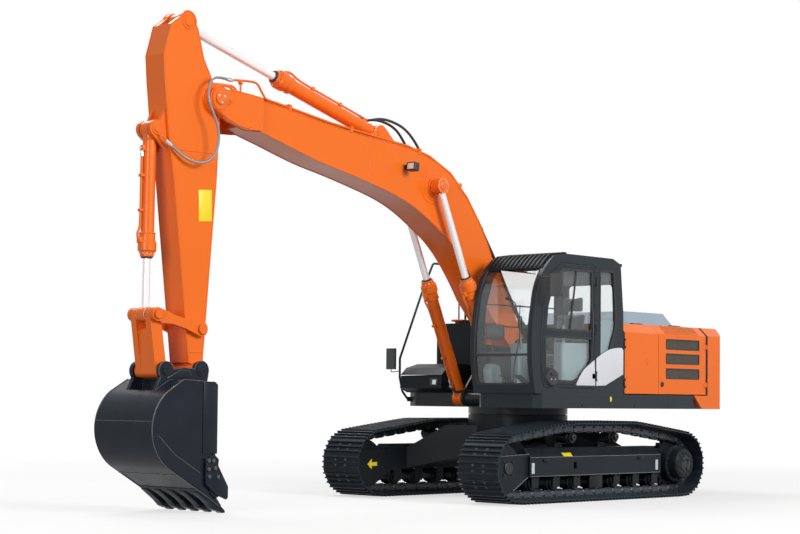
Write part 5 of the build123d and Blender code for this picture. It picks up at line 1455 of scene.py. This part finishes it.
class EXCAVATOR_OT_cylinders(bpy.types.Operator):
    """Glands, ports, supply pipes and bolts of the cylinders"""

    bl_idname = "excavator.cylinders"
    bl_label = "Cylinders"

    def execute(self, context):
        pair = (BOOM_CYLINDER_Y, -BOOM_CYLINDER_Y)
        self.cylinder("boom_cylinder", "boom_barrels", BOOM_CYLINDER_FOOT, BOOM_ROD_PIN, pair,
                      1.540, 0.072, 0.042, 1)
        self.cylinder("arm_cylinder", "arm_barrel", ARM_CYLINDER_FOOT, ARM_ROD_PIN, (0,),
                      1.640, 0.082, 0.047, -1)
        self.cylinder("bucket_cylinder", "bucket_barrel", BUCKET_CYLINDER_FOOT, LINK_PIN, (0,),
                      1.290, 0.070, 0.040, -1)
        self.eyes("boom_cylinder", "boom_rods", BOOM_ROD_PIN, pair, 0.088, 0.062)
        self.eyes("arm_cylinder", "arm_rod", ARM_ROD_PIN, (0,), 0.092, 0.070)
        self.eyes("bucket_cylinder", "bucket_rod", LINK_PIN, (0,), 0.076, 0.066)
        return {"FINISHED"}

    def eyes(self, name, body, pin, places, radius, half):
        """Painted eyes on the ends of the rods, with a washer outside each eye of a pair."""
        form = Form()
        proud = 0.0008
        width = 2 * (half + proud)
        for y in places:
            form.turned(pin + Vector((0, y - half - proud, 0)), (0, 1, 0),
                        [(0, radius - 0.004), (0.004, radius + proud), (width - 0.004, radius + proud),
                         (width, radius - 0.004)], 40)
            if y:
                hand = 1 if y > 0 else -1
                form.turned(pin + Vector((0, y + hand * half, 0)), (0, hand, 0),
                            [(0, 0.047), (0.012, 0.047), (0.0148, 0.044)], 32)
        form.done(f"{name}_eyes", body, "orange_paint")

    def cylinder(self, name, body, foot, eye, places, length, radius, rod, side):
        """Fittings of one cylinder or pair, about the line from its foot to its rod's eye."""
        axis = (eye - foot).normalized()
        outwards = Vector((axis.z, 0, -axis.x)) * side
        across = Vector((0, 1, 0))
        turn = Matrix((axis, across, axis.cross(across))).transposed()
        head = radius + 0.014
        pipe_out = outwards * (radius + 0.030)
        painted = Form()
        steel = Form()
        dark = Form()
        for y in places:
            centre = foot + Vector((0, y, 0))
            for distance in (length - 0.212, length - 0.060):
                painted.turned(centre + axis * distance, axis,
                               [(0, head + 0.001), (0.004, head + 0.005), (0.010, head + 0.005),
                                (0.014, head + 0.001)], 36)
            painted.turned(centre + axis * (length - 0.125), axis,
                           [(0, head), (0.012, head + 0.014), (0.100, head + 0.014), (0.112, head)], 36)
            painted.turned(centre + axis * (length - 0.001), axis,
                           [(0, rod + 0.034), (0.034, rod + 0.034), (0.040, rod + 0.026)], 36)
            dark.turned(centre + axis * (length + 0.040), axis,
                        [(-0.004, rod + 0.022), (0.012, rod + 0.020), (0.016, rod + 0.003)], 32)
            for number in range(10):
                angle = math.tau * number / 10
                spot = (across * math.cos(angle) + outwards * math.sin(angle)) * (radius - 0.003)
                steel.bolt(centre + axis * length + spot, axis, trim().bolt * 0.55)
            painted.turned(centre + axis * 0.100, axis,
                           [(0, radius + 0.001), (0.008, radius + 0.006), (0.018, radius + 0.001)], 36)
            low_port = centre + axis * 0.205
            high_port = centre + axis * (length - 0.130)
            for port, reach in ((low_port, radius), (high_port, head)):
                painted.plate(port + outwards * (reach + 0.016), (0.060, 0.056, 0.040), turn, 0.006)
            pipe = [high_port + outwards * (head + 0.034),
                    high_port + outwards * (head + 0.046) - axis * 0.070,
                    centre + axis * (length * 0.75) + pipe_out,
                    centre + axis * (length * 0.30) + pipe_out,
                    centre + axis * 0.290 + pipe_out]
            painted.tube(smooth_line(pipe, 6), 0.013, 10)
            for share in (0.38, 0.66):
                clamp = centre + axis * (length * share) + outwards * (radius + 0.024)
                painted.plate(clamp, (0.030, 0.050, 0.050), turn, 0.004)
            steel.turned(centre + axis * 0.292 + pipe_out, -axis,
                         [(0, 0.020), (0.030, 0.020), (0.032, 0.016), (0.055, 0.016)], 6)
            steel.turned(low_port + outwards * (radius + 0.036), outwards,
                         [(0, 0.020), (0.014, 0.020), (0.016, 0.014)], 6)
        painted.done(f"{name}_fittings", body, "orange_paint")
        steel.done(f"{name}_bolts", body, "bright_steel")
        dark.done(f"{name}_wipers", body, "rubber")


class EXCAVATOR_OT_bucket(bpy.types.Operator):
    """Welds, wear plates, adapters and pin plates of the bucket and its links"""

    bl_idname = "excavator.bucket"
    bl_label = "Bucket"

    def execute(self, context):
        welds = Form()
        # The beads take a lighter steel that paints a highlight along the bucket's rims
        rim_beads(welds, "bucket", (BUCKET_SIDE, -BUCKET_SIDE), trim().weld * 1.1)
        rim_beads(welds, "bucket", (BUCKET_EAR, -BUCKET_EAR), trim().weld * 0.8)
        welds.done("bucket_welds", "bucket", "weld_steel")
        self.wear_plates()
        self.adapters()
        plates = Form()
        pin_plates(plates, BUCKET_PIN, BUCKET_EAR, [(0.070, 0.012), (0.050, 0.010)])
        plates.done("bucket_pin_plates", "bucket", "bucket_steel")
        links = Form()
        pin_plates(links, LINK_PIN, 0.2205, [(0.050, 0.010)])
        links.done("link_pin_plates", "side_links", "orange_paint")
        return {"FINISHED"}

    def wear_plates(self):
        """Wear plates on the bucket's back, floor and sides, with their welds and bolts."""
        back = [Vector(point) for point in arc_through((6.140, 1.262), (6.352, 0.870), (6.120, 0.470), 40)]
        lower = [point for point in back if point.y < 0.946] + [Vector((6.020, 0.413))]
        inside = Vector((5.9, 0.85))
        outer = []
        inner = []
        for index, point in enumerate(lower):
            along = (lower[min(index + 1, len(lower) - 1)] - lower[max(index - 1, 0)]).normalized()
            normal = Vector((-along.y, along.x))
            if normal.dot(point - inside) < 0:
                normal = -normal
            outer.append(point + normal * 0.008)
            inner.append(point - normal * 0.003)
        form = Form()
        form.prism(outer + inner[::-1], -BUCKET_SIDE, BUCKET_SIDE)
        form.prism([(5.760, 0.262), (5.752, 0.250), (5.560, 0.140), (5.550, 0.152)],
                   -BUCKET_SIDE, BUCKET_SIDE)
        # Beads across the floor, round the plates and over the blade bolts, in a lighter steel that paints a
        # highlight
        beads = Form()
        for x, z in ((6.024, 0.405), (5.742, 0.250), (6.348, 0.950)):
            beads.rod((x, 0.005 - BUCKET_SIDE, z), (x, BUCKET_SIDE - 0.005, z), 0.005, 6)
        side = [(5.680, 1.362), (5.680, 0.618), (5.486, 0.618), (5.486, 1.330), (5.530, 1.362)]
        rim = [point + Vector((-0.010, 0.004)) for point in back if point.y < 0.800]
        patch = [(6.272, 0.809), (6.048, 0.612), (5.700, 0.418), (5.700, 0.246), (6.095, 0.470)] + rim[::-1]
        blade = [(5.660, 0.576), (5.531, 0.574), (5.506, 0.514), (5.350, 0.276), (5.350, 0.162),
                 (5.374, 0.142), (5.515, 0.196), (5.655, 0.306)]
        blade_bolts = ((5.628, 0.548), (5.568, 0.546), (5.630, 0.462), (5.540, 0.470), (5.620, 0.385),
                       (5.500, 0.380))
        ear = [(5.985, 1.388), (5.806, 1.476), (5.690, 1.478), (5.655, 1.425), (5.690, 1.388)]
        inner_face, blade_face = BUCKET_SIDE - 0.001, BUCKET_SIDE + 0.038
        for hand in (1, -1):
            form.prism(side, *between(hand, inner_face, BUCKET_SIDE + 0.011), "Y", 0.002)
            form.prism(patch, *between(hand, inner_face, BUCKET_SIDE + 0.008))
            beads.tube([(x, hand * (BUCKET_SIDE + 0.007), z) for x, z in patch[:3]], 0.005, 6)
            form.prism(blade, *between(hand, BUCKET_SIDE + 0.0205, blade_face), "Y", 0.003)
            form.prism(ear, *between(hand, BUCKET_EAR - 0.001, BUCKET_EAR + 0.007), "Y", 0.002)
            beads.tube([(x, hand * (BUCKET_EAR + 0.006), z) for x, z in ear[:4]], 0.005, 6)
            for x, z in blade_bolts:
                beads.turned((x, hand * (blade_face - 0.001), z), (0, hand, 0),
                             [(0, 0.022), (0.018, 0.022), (0.026, 0.014)], 16)
        form.done("bucket_wear_plates", "bucket", "bucket_steel")
        beads.done("bucket_plate_welds", "bucket", "weld_steel")

    def adapters(self):
        """Adapter straps over the lip and the pins that hold the teeth."""
        upper = [(5.600, 0.200), (5.570, 0.216), (5.480, 0.152), (5.425, 0.098), (5.455, 0.076),
                 (5.520, 0.116)]
        under = [(5.735, 0.256), (5.728, 0.222), (5.560, 0.104), (5.500, 0.044), (5.430, 0.018),
                 (5.440, 0.050), (5.520, 0.120), (5.570, 0.160)]
        tail = [(5.700, 0.262), (5.600, 0.212), (5.590, 0.196), (5.700, 0.226)]
        form = Form()
        pins = Form()
        pitch = (2 * BUCKET_SIDE - 0.110) / 4
        for number in range(5):
            y = (number - 2) * pitch
            for outline, half, bevel in ((upper, 0.050, 0.008), (under, 0.050, 0.008), (tail, 0.030, 0.005)):
                form.prism(outline, y - half, y + half, "Y", bevel)
            for hand in (1, -1):
                pins.turned((5.462, y + hand * 0.040, 0.098), (0, hand, 0),
                            [(0, 0.014), (0.014, 0.014), (0.016, 0.010)], 12)
        form.done("tooth_adapters", "bucket", "bucket_steel")
        pins.done("tooth_pins", "bucket", "dark_steel")


# Hoses

def hose(points, radius, name, finish_name="rubber"):
    """A hose along a smooth curve through its control points, as a mesh that isn't on a body yet."""
    curve = bpy.data.curves.new(name, "CURVE")
    curve.dimensions = "3D"
    curve.bevel_depth = radius
    curve.bevel_resolution = 3
    curve.resolution_u = 12
    curve.use_fill_caps = True
    spline = curve.splines.new("NURBS")
    spline.points.add(len(points) - 1)
    for spot, point in zip(spline.points, points):
        spot.co = (*point, 1)
    spline.order_u = 4
    spline.use_endpoint_u = True
    holder = bpy.data.objects.new(name, curve)
    bpy.context.scene.collection.objects.link(holder)
    bpy.context.view_layer.update()
    mesh = bpy.data.meshes.new_from_object(holder.evaluated_get(bpy.context.evaluated_depsgraph_get()))
    bpy.data.objects.remove(holder)
    mesh.name = name
    return place_mesh(name, mesh, None, finish_name, 60)


class EXCAVATOR_OT_hoses(bpy.types.Operator):
    """High-pressure hoses across the joints, with their steel ends"""

    bl_idname = "excavator.hoses"
    bl_label = "Hoses"

    def execute(self, context):
        self.nose_loops()
        self.arm_cylinder()
        self.boom_foot()
        self.boom_cylinders()
        return {"FINISHED"}

    def end(self, name, body, place, direction):
        """The steel fitting on a hose's end."""
        form = Form()
        form.turned(place, direction, [(-0.030, 0.016), (0.0, 0.016), (0.002, 0.023), (0.026, 0.023),
                                       (0.028, 0.019), (0.060, 0.019)], 12)
        form.done(name, body, "bright_steel")

    def nose_loops(self):
        """Grey hoses in a loop past the boom's nose to the bucket cylinder's foot."""
        loop = [(5.130, 0.186, 4.587), (5.200, 0.188, 4.592), (5.360, 0.205, 4.600), (5.510, 0.280, 4.500),
                (5.560, 0.318, 4.300), (5.420, 0.322, 4.100), (5.370, 0.320, 3.880), (5.470, 0.290, 3.640),
                (5.720, 0.215, 3.640), (5.880, 0.185, 3.770), (5.990, 0.172, 3.850)]
        pipe_line = [(5.985, 0.172, 3.850), (6.020, 0.166, 3.880), (6.040, 0.145, 3.900),
                     (6.050, 0.125, 3.905)]
        for side, hand in HANDS:
            points = [(x, hand * y, z) for x, y, z in loop]
            made = hose(points, trim().hose * 0.9, f"nose_hose_{side}", "grey_rubber")
            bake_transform(made)
            self.end(f"nose_hose_end_{side}", "arm", (5.945, hand * 0.178, 3.818),
                     (0.11, -hand * 0.012, 0.08))
            self.end(f"nose_hose_start_{side}", "boom", (5.120, hand * 0.186, 4.588), (1, 0, 0.02))
            pipe = Form()
            pipe.tube(smooth_line([(x, hand * y, z) for x, y, z in pipe_line], 5), 0.012, 10)
            pipe.done(f"bucket_cylinder_pipe_{side}", "arm", "orange_paint")

    def arm_cylinder(self):
        """Two hoses from the boom's top to the arm cylinder's foot."""
        for number, y in enumerate((0.055, -0.055), 1):
            points = [(1.990, y * 1.6, 4.150), (2.060, y * 1.6, 4.240), (2.200, y * 1.3, 4.390),
                      (2.420, y, 4.460), (2.640, y, 4.480), (2.780, y, 4.440)]
            made = hose(points, trim().hose, f"arm_cylinder_hose_{number}")
            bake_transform(made)

    def boom_foot(self):
        """Four hoses from the pipes on the boom's back to the deck."""
        for number, y in enumerate((0.150, 0.180, -0.150, -0.180), 1):
            points = [(0.965, y, 3.310), (0.900, y, 3.210), (0.700, y, 2.960), (0.480, y * 1.02, 2.600),
                      (0.240, y, 2.250), (0.020, y, 2.080), (-0.120, y * 0.9, 1.900),
                      (-0.200, y * 0.8, 1.700), (-0.260, y * 0.8, 1.560)]
            made = hose(points, trim().hose, f"boom_foot_hose_{number}")
            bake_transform(made)

    def boom_cylinders(self):
        """Short hoses from the boom cylinders' pipes down into the deck."""
        axis = (BOOM_ROD_PIN - BOOM_CYLINDER_FOOT).normalized()
        outwards = Vector((axis.z, 0, -axis.x))
        for side, hand in HANDS:
            foot = BOOM_CYLINDER_FOOT + Vector((0, hand * BOOM_CYLINDER_Y, 0))
            start = foot + axis * 0.240 + outwards * 0.102
            points = [start, start - axis * 0.060, start - axis * 0.140 + Vector((0.01, -hand * 0.020, 0)),
                      (0.760, hand * 0.225, 1.330), (0.640, hand * 0.150, 1.300),
                      (0.560, hand * 0.130, 1.290)]
            made = hose(points, trim().hose, f"boom_cylinder_hose_{side}")
            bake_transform(made)


# Seat

class EXCAVATOR_OT_seat(bpy.types.Operator):
    """Seat cushion, back and head rest, swelled by cloth pressure"""

    bl_idname = "excavator.seat"
    bl_label = "Seat"

    def execute(self, context):
        low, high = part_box("seat_cushion")
        cushion = Form()
        rim = 0.022
        corners = rectangle((low[0] + rim, low[1] + rim), (high[0] - rim, high[1] - rim))
        outline = rounded(corners, 0.07)
        cushion.prism(outline, low[2] + 0.002, high[2] - 0.020, "Z", 0.030, 4)
        seat = cushion.done("seat_cushion_cover", None, "seat_cloth")
        self.swell(seat, 0.024, low, high)
        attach(seat, "upper")
        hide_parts("seat_cushion")
        back = Form()
        back.prism([(0.120, 1.790), (0.195, 1.790), (0.100, 2.275), (0.030, 2.275)], CAB_MIDDLE - 0.213,
                   CAB_MIDDLE + 0.213, "Y", 0.022, 4)
        cover = back.done("seat_back_cover", None, "seat_cloth")
        low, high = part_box("seat_back")
        self.swell(cover, 0.022, low, high)
        head = Form()
        head.prism([(0.005, 2.295), (0.075, 2.295), (0.065, 2.470), (0.000, 2.470)], CAB_MIDDLE - 0.140,
                   CAB_MIDDLE + 0.140, "Y", 0.020, 4)
        head_rest = head.done("head_rest_cover", None, "seat_cloth")
        self.swell(head_rest, 0.014, low, high)
        for piece in (cover, head_rest):
            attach(piece, "upper")
        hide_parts("seat_back")
        stalk = Form()
        for y in (CAB_MIDDLE - 0.05, CAB_MIDDLE + 0.05):
            stalk.rod((0.055, y, 2.240), (0.040, y, 2.360), 0.007)
        stalk.done("head_rest_stalks", "upper", "bright_steel")
        return {"FINISHED"}

    def swell(self, piece, cap, low, high):
        """Remesh the piece and swell it by cloth pressure, with a limit to how far a point may move."""
        context = bpy.context
        context.view_layer.objects.active = piece
        remesh = piece.modifiers.new("remesh", "REMESH")
        remesh.mode = "VOXEL"
        remesh.voxel_size = 0.010
        self.bake(piece)
        before = [vertex.co.copy() for vertex in piece.data.vertices]
        cloth = piece.modifiers.new("cloth", "CLOTH")
        cloth.settings.quality = 5
        cloth.settings.use_pressure = True
        cloth.settings.uniform_pressure_force = 4.0
        cloth.settings.effector_weights.gravity = 0
        last_frame = 20
        cloth.point_cache.frame_start = 1
        cloth.point_cache.frame_end = last_frame
        for step in range(1, last_frame + 1):
            context.scene.frame_set(step)
        self.bake(piece)
        context.scene.frame_set(1)
        for vertex, start in zip(piece.data.vertices, before):
            move = vertex.co - start
            if move.length > cap:
                vertex.co = start + move.normalized() * cap
            for axis in range(3):
                vertex.co[axis] = min(max(vertex.co[axis], low[axis] + 0.001), high[axis] - 0.001)
        smooth = piece.modifiers.new("smooth", "SUBSURF")
        smooth.levels = 1
        smooth.render_levels = 1
        self.bake(piece)
        for polygon in piece.data.polygons:
            polygon.use_smooth = True

    def bake(self, piece):
        """Turn the piece's modifiers into plain mesh."""
        shown = piece.evaluated_get(bpy.context.evaluated_depsgraph_get())
        mesh = bpy.data.meshes.new_from_object(shown)
        piece.modifiers.clear()
        old = piece.data
        piece.data = mesh
        bpy.data.meshes.remove(old)


# Stage

class EXCAVATOR_OT_stage(bpy.types.Operator):
    """Pale floor, studio light and the camera at the photograph's angle"""

    bl_idname = "excavator.stage"
    bl_label = "Stage"

    def execute(self, context):
        self.floor()
        self.world(context.scene)
        self.lamps()
        self.camera(context.scene)
        context.scene.view_settings.view_transform = "Standard"
        return {"FINISHED"}

    def floor(self):
        """A wide pale floor that keeps the machine's shadow."""
        form = Form()
        reach = 60
        form.box((-reach, -reach, -0.02), (reach, reach, -0.0005))
        floor = form.done("floor", None, "pale_floor")

    def world(self, scene):
        """White surroundings wherever they are seen, and softer light from them on the machine."""
        world = bpy.data.worlds.new("studio")
        scene.world = world
        world.use_nodes = True
        tree = world.node_tree
        tree.nodes.clear()
        light, white = 0.30, 1.0
        strength = node(tree, "ShaderNodeMix", {0: shows_background(tree), 2: light, 3: white},
                        data_type="FLOAT").outputs[0]
        shown = node(tree, "ShaderNodeBackground", {"Color": (1, 1, 1, 1), "Strength": strength})
        node(tree, "ShaderNodeOutputWorld", {"Surface": shown.outputs["Background"]})

    def lamp(self, name, place, aim, size, power):
        """A large soft lamp that points at a place."""
        light = bpy.data.lights.new(name, "AREA")
        light.shape = "RECTANGLE"
        light.size = size[0]
        light.size_y = size[1]
        light.energy = power
        made = bpy.data.objects.new(name, light)
        made.location = place
        made.rotation_euler = (Vector(aim) - Vector(place)).to_track_quat("-Z", "Y").to_euler()
        bpy.context.scene.collection.objects.link(made)

    def lamps(self):
        """Key light from the cab side, a light from high on the far side and a weak one from the front."""
        self.lamp("key", (2, 20, 10), (0.5, 0, 1.8), (9, 7), 3400)
        self.lamp("top", (1, -9, 15), (1, 0, 0.5), (9, 9), 1500)
        self.lamp("front", (20, 6, 5), (2, 0, 2), (6, 7), 1000)

    def camera(self, scene):
        """The photograph's camera."""
        view = scene.excavator_view
        a, e = view.azimuth, view.elevation
        back = Vector((math.sin(a) * math.cos(e), -math.cos(a) * math.cos(e), math.sin(e)))
        right = Vector((math.cos(a), math.sin(a), 0))
        upwards = back.cross(right)
        turn = Matrix((right, upwards, back)).transposed() @ Matrix.Rotation(view.roll, 3, "Z")
        lens = bpy.data.cameras.new("camera")
        lens.lens = view.lens
        lens.sensor_width = 36
        lens.shift_x = 0.018
        lens.shift_y = 0.048
        lens.clip_end = 200
        made = bpy.data.objects.new("camera", lens)
        made.matrix_world = Matrix.Translation(Vector(view.place)) @ turn.to_4x4()
        scene.collection.objects.link(made)
        scene.camera = made


class EXCAVATOR_PT_panel(bpy.types.Panel):
    """Lists the operators that dress the machine"""

    bl_label = "Excavator"
    bl_idname = "EXCAVATOR_PT_panel"
    bl_space_type = "VIEW_3D"
    bl_region_type = "UI"
    bl_category = "Excavator"

    def draw(self, context):
        column = self.layout.column()
        for operator in OPERATORS:
            column.operator(operator.bl_idname)
        for owner in (context.scene.excavator_colours, context.scene.excavator_trim,
                      context.scene.excavator_view):
            for key in owner.__annotations__:
                column.prop(owner, key)


OPERATORS = (EXCAVATOR_OT_stage, EXCAVATOR_OT_finishes, EXCAVATOR_OT_tracks, EXCAVATOR_OT_undercarriage,
             EXCAVATOR_OT_house, EXCAVATOR_OT_cab, EXCAVATOR_OT_boom, EXCAVATOR_OT_arm,
             EXCAVATOR_OT_cylinders, EXCAVATOR_OT_bucket, EXCAVATOR_OT_hoses, EXCAVATOR_OT_seat)
GROUPS = (ExcavatorColours, ExcavatorTrim, ExcavatorView)


def register():
    for owner in GROUPS + OPERATORS + (EXCAVATOR_PT_panel,):
        bpy.utils.register_class(owner)
    bpy.types.Scene.excavator_colours = PointerProperty(type=ExcavatorColours)
    bpy.types.Scene.excavator_trim = PointerProperty(type=ExcavatorTrim)
    bpy.types.Scene.excavator_view = PointerProperty(type=ExcavatorView)


def unregister():
    del bpy.types.Scene.excavator_view
    del bpy.types.Scene.excavator_trim
    del bpy.types.Scene.excavator_colours
    for owner in reversed(GROUPS + OPERATORS + (EXCAVATOR_PT_panel,)):
        bpy.utils.unregister_class(owner)


def main():
    """Dress the whole machine."""
    register()
    for operator in OPERATORS:
        area, name = operator.bl_idname.split(".")
        getattr(getattr(bpy.ops, area), name)()


if __name__ == "__main__":
    main()
